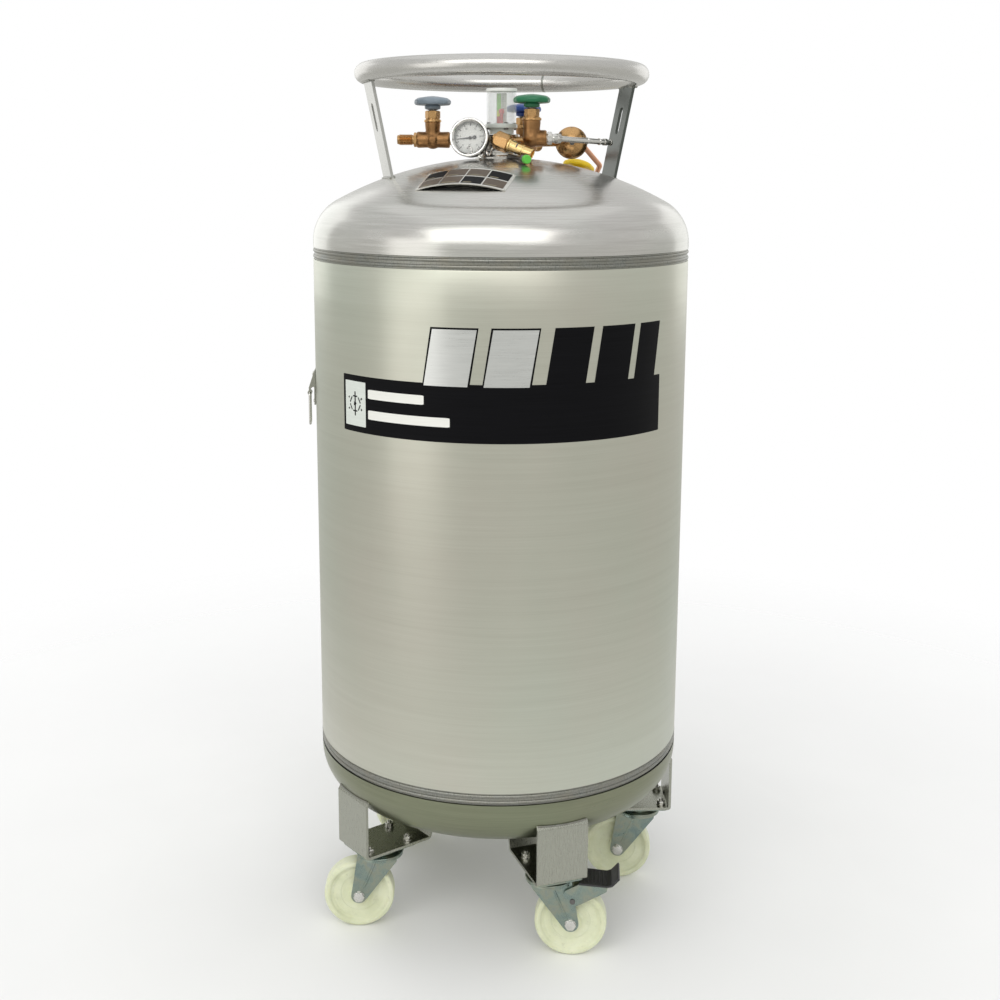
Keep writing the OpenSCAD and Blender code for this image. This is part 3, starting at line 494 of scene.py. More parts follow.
def lathe(profile, seg=48, closed=False):
    """Turns (r, z) points about Z. r may be a function of the angle in degrees."""
    verts, rows = [], []
    for r, z in profile:
        if not callable(r) and r < 1e-6:
            rows.append([len(verts)] * seg)
            verts.append((0, 0, z))
            continue
        rows.append(list(range(len(verts), len(verts) + seg)))
        for i in range(seg):
            a = 360 * i / seg
            q = r(a) if callable(r) else r
            verts.append((q * cosd(a), q * sind(a), z))
    faces = []
    pairs = list(zip(rows, rows[1:]))
    if closed:
        pairs.append((rows[-1], rows[0]))
    for a, b in pairs:
        for i in range(seg):
            j = (i + 1) % seg
            q = []
            for v in (a[i], a[j], b[j], b[i]):
                if v not in q:
                    q.append(v)
            if len(q) > 2:
                faces.append(q)
    return verts, faces


def hexed(inner):
    """Radius of a hexagon of that inner radius, for lathe."""
    return lambda a: inner / cosd((a % 60) - 30)


def hex_nut(inner, height, bore, chamfer, z):
    """A hexagon with both ends turned to a chamfer."""
    side = hexed(inner)
    outer = inner / cosd(30)
    rows = [(bore, z)] if bore else [(0, z)]
    rows.append((inner * 0.97, z))
    for k in range(4):
        lim = inner * 0.985 + (outer - inner * 0.985) * (k + 1) / 4
        rows.append((lambda a, lim=lim: min(side(a), lim), z + chamfer * (k + 1) / 4))
    for k in range(3, -1, -1):
        lim = inner * 0.985 + (outer - inner * 0.985) * (k + 1) / 4
        rows.append((lambda a, lim=lim: min(side(a), lim), z + height - chamfer * (k + 1) / 4))
    rows.append((inner * 0.97, z + height))
    rows.append((bore, z + height) if bore else (0, z + height))
    return lathe(rows, 72, closed=bool(bore))


def threaded(major, pitch, z0, z1, bore=0.0, seg=36):
    """A screw thread with relieved ends, as one closed form."""
    rows = [(bore, z0)] if bore else [(0, z0)]
    n = int((z1 - z0) / pitch * 6)
    for k in range(n + 1):
        z = z0 + (z1 - z0) * k / n
        fade = min(1, k / 5, (n - k) / 5)

        def radius(a, z=z, fade=fade):
            u = (z / pitch - a / 360) % 1
            return major - 0.558 * pitch * abs(2 * u - 1) - (1 - fade) * 0.55 * pitch
        rows.append((radius, z))
    rows.append((bore, z1) if bore else (0, z1))
    return lathe(rows, seg, closed=bool(bore))


def smooth_path(points, steps):
    """Catmull-Rom curve through the points."""
    pts = [Vector(p) for p in points]
    out = []
    for i in range(len(pts) - 1):
        p1, p2 = pts[i], pts[i + 1]
        p0 = pts[i - 1] if i > 0 else p1 * 2 - p2
        p3 = pts[i + 2] if i + 2 < len(pts) else p2 * 2 - p1
        for k in range(steps):
            t = k / steps
            out.append(0.5 * ((2 * p1) + (p2 - p0) * t + (2 * p0 - 5 * p1 + 4 * p2 - p3) * t * t
                              + (3 * p1 - p0 - 3 * p2 + p3) * t ** 3))
    return out + [pts[-1]]


def rounded_path(points, radius, steps=6, closed=False):
    """Straight runs joined by bends of that radius."""
    pts = [Vector(p) for p in points]
    n = len(pts)
    out = []
    for i, c in enumerate(pts):
        if not closed and i in (0, n - 1):
            out.append(c)
            continue
        a, b = pts[i - 1] - c, pts[(i + 1) % n] - c
        half = a.angle(b) / 2
        if half > math.radians(88):
            out.append(c)
            continue
        t = min(radius / math.tan(half), 0.48 * a.length, 0.48 * b.length)
        s, e = c + a.normalized() * t, c + b.normalized() * t
        for k in range(steps + 1):
            u = k / steps
            out.append(s * (1 - u) ** 2 + c * 2 * u * (1 - u) + e * u * u)
    return out


def tube(path, r, seg=16, closed=False):
    """A round tube along a path. r may be a list with one radius per point."""
    path = [Vector(p) for p in path]
    n = len(path)
    verts, faces = [], []
    tangents = []
    for i in range(n):
        a = path[i - 1] if (closed or i > 0) else path[i]
        b = path[(i + 1) % n] if (closed or i < n - 1) else path[i]
        tangents.append((b - a).normalized())
    t0 = tangents[0]
    u = t0.orthogonal().normalized()
    frames = []
    for i in range(n):
        t = tangents[i]
        if i:
            u = (u - t * u.dot(t)).normalized()
        frames.append((u.copy(), t.cross(u)))
    for i in range(n):
        q = r[i] if isinstance(r, (list, tuple)) else r
        a, b = frames[i]
        for k in range(seg):
            th = 360 * k / seg
            verts.append(path[i] + a * (q * cosd(th)) + b * (q * sind(th)))
    if closed:
        best, off = 1e9, 0
        for s in range(seg):
            d = (verts[(n - 1) * seg] - verts[s]).length
            if d < best:
                best, off = d, s
    for i in range(n if closed else n - 1):
        for k in range(seg):
            a, b = i * seg + k, i * seg + (k + 1) % seg
            if i < n - 1:
                faces.append((a, b, b + seg, a + seg))
            else:
                faces.append((a, b, (k + 1 + off) % seg, (k + off) % seg))
    if not closed:
        faces.append(tuple(range(seg - 1, -1, -1)))
        faces.append(tuple((n - 1) * seg + k for k in range(seg)))
    return verts, faces


def prism(outline, z0, z1):
    """A closed outline raised along Z."""
    n = len(outline)
    verts = [(x, y, z0) for x, y in outline] + [(x, y, z1) for x, y in outline]
    faces = [tuple(range(n - 1, -1, -1)), tuple(range(n, 2 * n))]
    faces += [(i, (i + 1) % n, n + (i + 1) % n, n + i) for i in range(n)]
    return verts, faces


def block(low, high):
    x0, y0, z0 = low
    x1, y1, z1 = high
    return prism([(x0, y0), (x1, y0), (x1, y1), (x0, y1)], z0, z1)


def rounded_rect(w, h, r, steps=4, cx=0.0, cy=0.0):
    return softened([(cx - w / 2, cy - h / 2, r), (cx + w / 2, cy - h / 2, r),
                     (cx + w / 2, cy + h / 2, r), (cx - w / 2, cy + h / 2, r)], True, steps)


def wrapped(outline, r0, r1, step=1.5):
    """An outline in (azimuth in degrees, height) laid round the vessel as a thin closed film."""
    bm = bmesh.new()
    loop = [bm.verts.new((a, z, 0)) for a, z in outline]
    bm.faces.new(loop)
    lo, hi = min(p[0] for p in outline), max(p[0] for p in outline)
    for k in range(1, int((hi - lo) / step) + 1):
        a = lo + k * step
        if a < hi - 0.01:
            bmesh.ops.bisect_plane(bm, geom=bm.verts[:] + bm.edges[:] + bm.faces[:],
                                   dist=1e-5, plane_co=(a, 0, 0), plane_no=(1, 0, 0))
    ret = bmesh.ops.extrude_face_region(bm, geom=bm.faces[:])
    for v in ret["geom"]:
        if isinstance(v, bmesh.types.BMVert):
            v.co.z = 1
    bm.verts.index_update()
    verts = []
    for v in bm.verts:
        r = r1 if v.co.z > 0.5 else r0
        verts.append((r * sind(v.co.x), -r * cosd(v.co.x), v.co.y))
    faces = [tuple(v.index for v in f.verts) for f in bm.faces]
    bm.free()
    return verts, faces


class Form:
    """Sub-shapes gathered into one piece."""

    def __init__(self):
        self.v, self.f, self.m = [], [], []

    def add(self, shape, at=None, paint=0):
        verts, faces = shape
        n = len(self.v)
        for p in verts:
            q = Vector(p)
            self.v.append(at @ q if at is not None else q)
        self.f += [tuple(i + n for i in q) for q in faces]
        self.m += [paint] * len(faces)
        return self

    def spin(self, corners, seg, at=None, paint=0, closed=False, steps=4):
        """Adds (r, z, fillet radius) corners turned about Z; closed makes a ring of them."""
        return self.add(lathe(softened(corners, closed, steps), seg, closed), at, paint)

    def nut(self, inner, height, bore, chamfer, z, at, paint=0):
        """Adds a hexagon of that inner radius, from z upwards."""
        return self.add(hex_nut(inner, height, bore, chamfer, z), at, paint)


def piece(name, form, paints, body, instead=(), crease=38, edge=0.0):
    """Makes the object, gives it its finishes, and hangs it on its body."""
    mesh = bpy.data.meshes.new(name)
    mesh.from_pydata([tuple(p * MM) for p in form.v], [], form.f)
    if isinstance(paints, str):
        paints = [paints]
    for p in paints:
        mesh.materials.append(FINISHES[p].m)
    mesh.polygons.foreach_set("material_index", form.m)
    bm = bmesh.new()
    bm.from_mesh(mesh)
    bmesh.ops.remove_doubles(bm, verts=bm.verts[:], dist=2e-7)
    bmesh.ops.recalc_face_normals(bm, faces=bm.faces[:])
    bm.to_mesh(mesh)
    bm.free()
    mesh.shade_smooth()
    mesh.set_sharp_from_angle(angle=math.radians(crease))
    ob = bpy.data.objects.new(name, mesh)
    scene.collection.objects.link(ob)
    if edge:
        round_edges(ob, edge)
    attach(ob, body)
    if instead:
        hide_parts(*instead)
    return ob


def round_edges(ob, width):
    mod = ob.modifiers.new("edges", "BEVEL")
    mod.width = width * MM
    mod.segments = 2
    mod.limit_method = "ANGLE"
    mod.angle_limit = math.radians(35)
    mod.harden_normals = True
    mod.use_clamp_overlap = True


def dress(node, paint):
    """Keeps a CAD node as it is and gives it a finish."""
    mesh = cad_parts[node].data
    mesh.materials.clear()
    mesh.materials.append(FINISHES[paint].m)
    mesh.polygons.foreach_set("material_index", [0] * len(mesh.polygons))


def refined(node, paint, more):
    """A support bar: the CAD node's own shape with its edges broken, and what is added to it."""
    bm = bmesh.new()
    bm.from_mesh(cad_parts[node].data)
    bmesh.ops.remove_doubles(bm, verts=bm.verts[:], dist=2e-6)
    bmesh.ops.dissolve_limit(bm, angle_limit=math.radians(0.6), verts=bm.verts[:], edges=bm.edges[:])
    bm.verts.index_update()
    form = Form()
    form.v = [v.co / MM for v in bm.verts]
    form.f = [tuple(v.index for v in f.verts) for f in bm.faces]
    form.m = [0] * len(form.f)
    bm.free()
    more(form)
    piece("fine_" + node, form, [paint, "weld_band"], "vessel", (node,), 32, 0.8)


# ---------------------------------------------------------------- sizes, as in the CAD

SHELL_R, CROWN_R, KNUCKLE_R = 330.0, 600.0, 80.0
LOW_WELD, TOP_WELD, FLANGE = 317.0, 1200.0, 20.0
HEAD_H = CROWN_R - math.sqrt((CROWN_R - KNUCKLE_R) ** 2 - (SHELL_R - KNUCKLE_R) ** 2)
CROWN_Z = TOP_WELD + FLANGE + HEAD_H
RING_Z, RING_R, TUBE_R = 1505.0, 238.0, 16.85
FOOT_R, BAR_T = 202.0, 6.4


def dome_z(r):
    return CROWN_Z - CROWN_R + math.sqrt(CROWN_R ** 2 - r * r)


def belly_z(r):
    """Height of the bottom head's outer face at radius r."""
    flat = math.sqrt((CROWN_R - KNUCKLE_R) ** 2 - (SHELL_R - KNUCKLE_R) ** 2)
    low = LOW_WELD - FLANGE
    edge = CROWN_R * (SHELL_R - KNUCKLE_R) / (CROWN_R - KNUCKLE_R)
    if r > edge:
        return low - math.sqrt(max(0, KNUCKLE_R ** 2 - (r - SHELL_R + KNUCKLE_R) ** 2))
    return low + flat - math.sqrt(CROWN_R ** 2 - r * r)


def head_profile(inset, skirt, hole=0.0):
    """(r, height above the tangent line) from the skirt to the middle."""
    a1 = math.degrees(math.asin((SHELL_R - KNUCKLE_R) / (CROWN_R - KNUCKLE_R)))
    pts = [(SHELL_R - inset, -skirt), (SHELL_R - inset, -skirt * 0.5)]
    pts += arc(SHELL_R - KNUCKLE_R, 0, KNUCKLE_R - inset, 0, 90 - a1, 18)
    a2 = math.degrees(math.asin(hole / (CROWN_R - inset)))
    pts += arc(0, HEAD_H - CROWN_R, CROWN_R - inset, 90 - a1, 90 - a2, 26)[1:]
    return pts


# ---------------------------------------------------------------- vessel

def make_vessel():
    lo, hi = LOW_WELD + 10, TOP_WELD - 10
    rows = [(SHELL_R - 3, lo), (SHELL_R - 1.2, lo), (SHELL_R - 0.4, lo + 0.4), (SHELL_R, lo + 1.4)]
    rows += [(SHELL_R, lo + 1.4 + (hi - lo - 2.8) * k / 12) for k in range(1, 13)]
    rows += [(SHELL_R - 0.4, hi - 0.4), (SHELL_R - 1.2, hi), (SHELL_R - 3, hi)]
    form = Form().add(lathe(rows, 256, closed=True))
    # the long seam, ground nearly flush, runs down the back
    seam = [(331.0 - 0.75, 0, z) for z in range(int(lo) + 2, int(hi), 12)]
    ridge = [1.0 + 0.12 * mnoise.noise(Vector((0, 0, p[2] * 0.05))) for p in seam]
    form.add(tube(seam, [r * 0.9 for r in ridge], 8), at_az(172), 1)
    piece("shell_skin", form, ["brushed_shell", "weld_band"], "vessel", instead=("outer_shell",))

    outer, inner = head_profile(0, 9.4, 45.2), head_profile(3, 9.4, 45.2)
    loop = outer + inner[::-1]
    up = [(r, z + TOP_WELD + FLANGE) for r, z in loop]
    piece("top_dome", Form().add(lathe(up, 256, closed=True)), "polished_head",
          "vessel", instead=("top_head",))
    outer, inner = head_profile(0, 9.4), head_profile(3, 9.4)
    down = [(r, LOW_WELD - FLANGE - z) for r, z in outer + inner[::-1]]
    piece("bottom_dome", Form().add(lathe(down, 256)), "dull_head", "vessel",
          instead=("bottom_head",))

    form = Form()
    for z in (LOW_WELD, TOP_WELD):
        rows = [(324, -10), (328, -10), (328, -8.4)]
        for side in (-5, 5):
            for k in range(11):
                a = -80 + 160 * k / 10

                def bead(t, a=a, side=side, z=z):
                    w = mnoise.noise(Vector((cosd(t) * 14, sind(t) * 14, side + z)))
                    v = abs(math.sin(math.radians(t) * 150))
                    return 327.6 + (2.75 + 0.22 * w - 0.28 * v) * cosd(a)
                rows.append((bead, side + 2.9 * sind(a)))
            rows.append((328, side + (1.9 if side < 0 else 3.4)))
        rows += [(328, 10), (324, 10)]
        form.add(lathe(rows, 1200, closed=True), shift(0, 0, z))
    piece("weld_seams", form, "weld_band", "vessel", instead=("girth_welds",), crease=60)

    rows = softened([(25, CROWN_Z - 20), (45, CROWN_Z - 20), (45, CROWN_Z + 0.5, 1.2),
                     (46.6, CROWN_Z + 1.5, 1.5), (45, CROWN_Z + 4, 1.2), (45, 1372, 0.5), (47, 1372, 0.8),
                     (47, 1375, 0.8), (43.5, 1375.6, 0.5), (43.5, 1377, 0.6), (25, 1377)])
    form = Form().add(lathe(rows, 96, closed=True))
    for k in range(6):
        at = turn(60 * k + 15, "Z") @ shift(38.5, 0, 1377)
        form.spin([(0, 0), (3.2, 0), (3.2, 3, 0.6), (1.9, 3.2), (1.7, 1.4), (0, 1.4)], 24, at, 1)
    piece("neck_ring", form, ["fitting_steel", "dark_steel"], "vessel", instead=("neck_collar",))

    for node, paint in (("inner_vessel", "inner_steel"), ("insulation_wrap", "insulation"),
                        ("neck_tube", "inner_steel"), ("bottom_support", "support_laminate"),
                        ("pressure_coil", "copper"), ("dip_tube", "inner_steel")):
        dress(node, paint)


def make_handling_ring():
    form = Form()
    form.add(lathe([(RING_R + (TUBE_R - 0.3) * cosd(a), RING_Z + (TUBE_R - 0.3) * sind(a))
                    for a in range(0, 360, 9)], 192, closed=True))
    # the tube's own butt weld, at the back
    rows = [(TUBE_R - 1.1, -3.4)] + [(TUBE_R - 0.9 + 0.85 * cosd(a), 3.2 * sind(a))
                                     for a in range(-80, 81, 20)]
    rows += [(TUBE_R - 1.1, 3.4)]
    form.add(lathe(rows, 48, closed=True), at_az(160) @ shift(RING_R, 0, RING_Z) @ turn(90, "X"), 1)
    piece("ring_tube_bent", form, ["ring_tube", "weld_band"], "vessel", instead=("handling_ring",))

    # the right support takes the nearly black copy of the bar's finish: painted shade on the same steel as
    # the left
    for side, az, paint in (("left", -73, "support_bar"), ("right", 107, "support_shaded")):
        def beads(form, az=az):
            """Fillet welds along both faces of the bar, at its foot and under the ring."""
            for side_of in (-1, 1):
                face = side_of * BAR_T / 2
                foot, head = [], []
                for k in range(-9, 10):
                    y = 31 * k / 9
                    foot.append(at_az(az) @ Vector((FOOT_R + face, y,
                                                    dome_z(math.hypot(FOOT_R + face, y)) + 0.4)))
                    x = math.sqrt(RING_R ** 2 - y * y) + side_of * 3.4
                    drop = math.sqrt(TUBE_R ** 2 - face ** 2)
                    head.append(at_az(az) @ Vector((x, y, RING_Z - drop + 0.3)))
                fat = [2.3 + 0.4 * mnoise.noise(p * 0.2) for p in foot]
                form.add(tube(foot, fat, 8), None, 1)
                form.add(tube(head, fat, 8), None, 1)
        refined("ring_support_" + side, paint, beads)


# ---------------------------------------------------------------- graphics on the shell, all generic

def make_label():
    form = Form()
    under, film, top = SHELL_R - 0.2, SHELL_R + 0.22, SHELL_R + 0.36
    mm = 1 / (math.radians(1) * SHELL_R)  # degrees round the shell for one millimetre
    mid, left = 965.0, -46.0

    def patch(az, z, wide, high, paint, corner=0.6):
        form.add(wrapped(rounded_rect(wide, high, corner, 3, az, z), under, top, 1.0), None, paint)

    def slanted(az, wide, low, grow, paint, out):
        lean, high, g = 2.6, 1098, grow * mm
        form.add(wrapped([(az - g, low - grow), (az + wide + g, low - grow),
                          (az + wide + lean + g, high + grow),
                          (az + lean - g, high + grow)], under, out, 1.0), None, paint)

    form.add(wrapped(softened([(-51.5, 918, 1), (53, 918, 1), (53, 1012, 1),
                               (-51.5, 1012, 1)], True), under, film))
    # a pale square with a six-armed snow crystal, each arm with one cross-bar
    patch(left, mid, 9.0, 74, 3)
    for k in range(6):
        c, s = cosd(60 * k + 30), sind(60 * k + 30)
        for p0, p1, q in ((0, 20, 1.5), (11, 13.4, 5.5)):
            arm = [(left + (c * p - s * w) * mm, mid + s * p + c * w) for p,
                   w in ((p0, -q), (p1, -q), (p1, q), (p0, q))]
            form.add(wrapped(arm, under, top + 0.05, 3))
    # two plain bars
    patch(-31.0, 984, 19.0, 15, 1, 1.2)
    patch(-27.2, 950, 26.6, 15, 1, 1.2)
    # slanted bars above the band: silver ones with a dark edge, then dark ones
    for az in (-21.5, -4.5):
        slanted(az, 12.5, 1008, 3.0, 0, film)
        slanted(az, 12.5, 1008, 0.0, 2, top)
    for az, wide in ((13.0, 10.6), (27.4, 10.6), (41.4, 8.0)):
        slanted(az, wide, 1010, 3.0, 0, film)
    piece("shell_graphics", form, ["film_black", "film_white", "film_silver", "film_pale"],
          "vessel", ("front_label",), crease=30)


# ---------------------------------------------------------------- casters

CASTER_AZ = [19.7 + 72 * i for i in range(5)]
HEADING = [-4, 176, 184, 20, 182]  # the way each wheel trails, in degrees from +X
SWIVEL_R, TRAIL, WHEEL_R, FORK_TOP, PLATE_Z = 268.0, 37.0, 62.5, 143.0, 155.0


def at_swivel(i):
    return at_az(CASTER_AZ[i]) @ shift(SWIVEL_R, 0, 0)


def caster_frame(i):
    return at_swivel(i) @ turn(HEADING[i] - CASTER_AZ[i] + 90, "Z")


def make_brackets():
    form = Form()
    face, inner, t = 325.0, 325.0 - 136.0, 5.0
    outline = softened([(face, PLATE_Z, 7), (face, 257, 4), (face - 9, 270, 0.8),
                        (face - 13, 267.6, 0.8), (face - t, 256, 3), (face - t, PLATE_Z + t, 2.5),
                        (inner + 3, PLATE_Z + t, 3), (inner - 6, PLATE_Z + 34, 0.8),
                        (inner - 11, PLATE_Z + 33, 0.8), (inner, PLATE_Z, 7)], True, 5)
    for az in CASTER_AZ:
        at = at_az(az)
        form.add(prism(outline, -46, 46), at @ turn(90, "X"))
        # fillet weld where the lip meets the belly: the lip is followed until it touches
        path = []
        for k in range(-11, 12):
            y = 4 * k
            lo, hi = 0.0, 1.0
            for _ in range(18):
                u = (lo + hi) / 2
                if belly_z(math.hypot(face - 9 * u, y)) > 257 + 13 * u:
                    lo = u
                else:
                    hi = u
            path.append(at @ Vector((face - 9 * lo + 0.6, y, 257 + 13 * lo - 0.2)))
        form.add(tube(path, [2.0 + 0.35 * mnoise.noise(p * 0.25) for p in path], 8), None, 1)
        path = []
        for k in range(-10, 11):
            y = 42 * k / 10
            r = math.hypot(inner - 6, y)
            path.append(at @ Vector((inner - 7.5, y, min(PLATE_Z + 33.4, belly_z(r) + 0.5))))
        form.add(tube(path, [1.9 + 0.3 * mnoise.noise(p * 0.25) for p in path], 8), None, 1)
    piece("bracket_plates", form, ["bracket_steel", "weld_band"], "vessel",
          instead=("caster_brackets",), crease=30, edge=0.5)


def make_caster_fixings():
    form = Form()
    for i in range(5):
        at = at_swivel(i)
        plate = rounded_rect(105, 85, 9)
        form.add(prism(plate, PLATE_Z - 3, PLATE_Z), at)
        form.spin([(0, 154), (31, 154), (33.8, 150, 3), (33.6, FORK_TOP + 0.6, 1.2),
                   (28, FORK_TOP + 0.5), (26, FORK_TOP + 2.5, 1), (0, FORK_TOP + 2.5)], 64, at)
        form.spin([(0, 133.6), (7, 133.6, 0.8), (11, 133.6, 1.2), (11, 138.4, 0.6),
                   (6.9, 138.6), (6.9, 150), (0, 150)], 36, at)
    piece("caster_plates", form, "zinc_plate", "vessel",
          instead=("caster_top_plates",), crease=30, edge=0.35)

    form = Form()
    for i in range(5):
        for x in (-40, 40):
            for y in (-30, 30):
                at = at_swivel(i) @ shift(x, y, 0) @ turn(17 * (x + y + i), "Z")
                form.spin([(0, 148.2), (4.6, 148.4, 1.4), (6.6, 150.4, 0.8), (6.8, 152), (0, 152)], 28, at)
                form.add(threaded(4, 1.25, 161, 172, seg=20), at)
                form.spin([(4, 160), (8.5, 160, 0.3), (8.5, 161.6, 0.4), (4, 161.6)],
                          32, at, closed=True, steps=2)
                form.nut(6.5, 6.5, 3.9, 0.9, 161.6, at)
    piece("caster_nuts", form, "fitting_steel", "vessel", instead=("caster_bolts",))


def make_fork(i, braked):
    at = caster_frame(i)
    form = Form()
    outline = [(-30, 142, 2), (-31, 129, 6)]
    outline += [(TRAIL + 14 * cosd(a), WHEEL_R + 14 * sind(a)) for a in range(215, 366, 15)]
    outline += [(41, 127, 6), (39, 142, 2)]
    cheek = softened(outline, True)
    for side in (-1, 1):
        y = side * 21.5
        form.add(prism(cheek, -y - 1.5, -y + 1.5), at @ turn(90, "X"))
        # pressed rib down the cheek
        rib = smooth_path([(6, y + side * 0.9, 132), (14, y + side * 1.1, 112),
                           (26, y + side * 1.1, 84), (31, y + side * 0.9, 76)], 5)
        form.add(tube(rib, [1.2 + 1.3 * math.sin(math.pi * k / (len(rib) - 1))
                            for k in range(len(rib))], 10), at)
    form.spin([(7.1, 139), (41.5, 139, 2.5), (43, 141, 1), (42, 143, 1.2), (7.1, 143)], 72, at, closed=True)
    form.spin([(36.5, 139.4), (40.2, 139.4), (41.6, 134.8, 1.0), (39.8, 134.6, 0.8),
               (37.8, 138)], 72, at, closed=True)
    # ball race that shows as a bright line under the cup
    form.spin([(7.1, 139.2), (24, 139.2), (25.5, 136.2, 1.2), (17, 135.6, 1.5),
               (14, 138, 1), (7.1, 138.4)], 56, at, 1, closed=True)
    # axle bolt, its head and its nut
    axle = at @ shift(TRAIL, 0, WHEEL_R) @ turn(90, "X")
    form.add(lathe([(0, -24), (6, -24), (6, 24), (0, 24)], 32), axle, 1)
    form.nut(8.66, 4.4, 0, 0.9, 23.8, axle, 1)
    form.spin([(0, 23), (9.8, 23, 0.3), (9.8, 24.2, 0.4), (0, 24.2)], 36, axle, 1)
    form.nut(8.66, 5.2, 0, 1.0, -29.5, axle, 1)
    form.spin([(0, -24.4), (9.8, -24.4, 0.4), (9.8, -23, 0.3), (0, -23)], 36, axle, 1)
    if braked:
        for side in (-1, 1):
            pin = at @ shift(40, 0, 108) @ turn(-90 * side, "X")
            form.spin([(0, 19), (3, 19), (3, 27.6), (5, 27.7, 0.8), (4.6, 29.2, 0.9),
                       (0, 29.6)], 28, pin, 2)
    piece("fork_%d" % (i + 1), form, ["zinc_plate", "fitting_steel", "dark_steel"],
          "caster_%d" % (i + 1), instead=("caster_fork_%d" % (i + 1),), crease=30, edge=0.4)


def make_wheel(i):
    at = caster_frame(i) @ shift(TRAIL, 0, WHEEL_R) @ turn(90, "X")
    half = [(6.1, 19), (14.2, 19, 0.8), (17, 17.4, 1.0), (19.5, 11.5, 2.5),
            (26, 10.2, 1.0), (46, 10.2, 2.0), (50.5, 12.4, 2.0), (53.2, 15.2, 1.2),
            (56.5, 16, 1.2), (60.6, 15.2, 1.6), (62.45, 11.8, 2.5), (62.5, 0)]
    other = [(p[0], -p[1], *p[2:]) for p in half[-2::-1]]
    hub = Form().spin(half + other, 128, at, closed=True)
    for s in (-1, 1):
        # moulded ring and gate mark on each face, and the bright bush
        ring = [(34 + 0.9 * cosd(a), s * 10.2 + 0.7 * sind(a)) for a in range(0, 360, 45)]
        hub.add(lathe(ring, 96, closed=True), at)
        hub.spin([(0, 0), (2.6, 0), (2.4, 0.7, 0.3), (0, 0.8)], 20,
                 at @ turn(55, "Z") @ shift(41, 0, s * 10.1) @ turn(0 if s > 0 else 180, "X"))
        hub.spin([(6.08, s * 15), (9.4, s * 15), (9.4, s * 19.3, 0.4),
                  (6.08, s * 19.3)], 48, at, 1, closed=True, steps=2)
    piece("nylon_wheel_%d" % (i + 1), hub, ["nylon_cream", "fitting_steel"],
          "wheel_%d" % (i + 1), instead=("caster_wheel_%d" % (i + 1),), crease=40)


def make_pedal():
    at = caster_frame(0)
    form = Form()
    face = 23.4
    side_outline = softened([(24, 122, 3), (30, 103, 6), (40, 99.7, 6), (50, 101, 4),
                             (98, 128, 3), (100, 136, 2), (50.5, 140, 3), (28, 128, 3)], True)
    for s in (-1, 1):
        y0, y1 = sorted((s * face, s * 27.4))
        form.add(prism(side_outline, -y1, -y0), at @ turn(90, "X"))
    top = softened([(50.5, 143, 1), (50.5, 139, 1), (99, 136, 6), (108, 138, 6),
                    (121, 152, 1.2), (118, 155, 1.2), (106, 141.5, 6), (99, 139, 6)], True)
    form.add(prism(top, -27.5, 27.5), at @ turn(90, "X"), 1)
    shoe = softened([(60, 140), (60, 127.4, 1), (62, 126.4, 1), (78, 119.4, 1),
                     (80, 120.4, 1), (80, 138)], True)
    form.add(prism(shoe, -12, 12), at @ turn(90, "X"), 1)
    # grip ribs across the tread plate
    for k in range(7):
        x = 60 + 6.4 * k
        z = 143 - (x - 50.5) * (4 / 48.5)
        form.add(tube([(x, -22, z), (x, 22, z)], 0.9, 8), at, 1)
    piece("pedal_pressed", form, ["zinc_plate", "gauge_black"], "brake_pedal",
          instead=("brake_pedal",), crease=30, edge=0.45)


def make_casters():
    make_brackets()
    make_caster_fixings()
    for i in range(5):
        make_fork(i, i == 0)
        make_wheel(i)
    make_pedal()


# ---------------------------------------------------------------- valves, gauges and fittings

VENT_AT, GAS_AT = Vector((-120, 0, 1394)), Vector((52, -31, 1397))
LIQUID_TURN, LIQUID_R, BUILD_TURN, BUILD_R = 62, 84, 59, 268
LIQUID_AT = Vector((LIQUID_R * cosd(LIQUID_TURN), LIQUID_R * sind(LIQUID_TURN), 1386))
BUILD_AT = Vector((BUILD_R * cosd(BUILD_TURN), BUILD_R * sind(BUILD_TURN), dome_z(BUILD_R)))
GAUGE_AT, RELIEF_AT, REG_AT = Vector((-50, -36, 1394)), Vector((2, -52, 1390)), Vector((125, 52, 1391))
LINE_FROM, LINE_TO = Vector((90, -31, 1397)), Vector((196, 52, 1392))
CAP_FROM, CAP_TO = Vector((14, -44, 1366)), Vector((44, -124, 1360))
BLOCK_R, BLOCK_TOP, PORT_Z, LOW_PORT_Z = 32.0, 1404.0, 1394.0, 1388.0
SLEEVE_Z, SLEEVE_TOP = 1422.0, 1476.0

VENT_F = Matrix.Translation(VENT_AT) @ turn(180, "Z")
GAS_F = Matrix.Translation(GAS_AT)
LIQUID_F = Matrix.Translation(LIQUID_AT) @ turn(LIQUID_TURN, "Z")
BUILD_F = Matrix.Translation(BUILD_AT) @ turn(BUILD_TURN, "Z") @ turn(24, "Y")
GAUGE_F = Matrix.Translation(GAUGE_AT) @ turn(-12, "Z") @ turn(82, "X")
RELIEF_F = Matrix.Translation(RELIEF_AT) @ turn(-22, "Z") @ turn(111, "Y")
REG_F = Matrix.Translation(REG_AT) @ turn(90, "X")
ALONG_X = turn(90, "Y")


def along(p, q):
    """Frame at p with +Z towards q."""
    d = (q - p).normalized()
    return Matrix.Translation(p) @ d.to_track_quat("Z", "Y").to_matrix().to_4x4()


def melted(name, form, paint, smooth=6):
    """Sub-shapes fused into one cast skin with soft inner corners."""
    ob = piece(name, form, paint, "vessel")
    mod = ob.modifiers.new("fuse", "REMESH")
    mod.mode = "VOXEL"
    mod.voxel_size = 0.9 * MM
    mod.use_smooth_shade = True
    mod = ob.modifiers.new("flow", "SMOOTH")
    mod.factor = 0.5
    mod.iterations = smooth


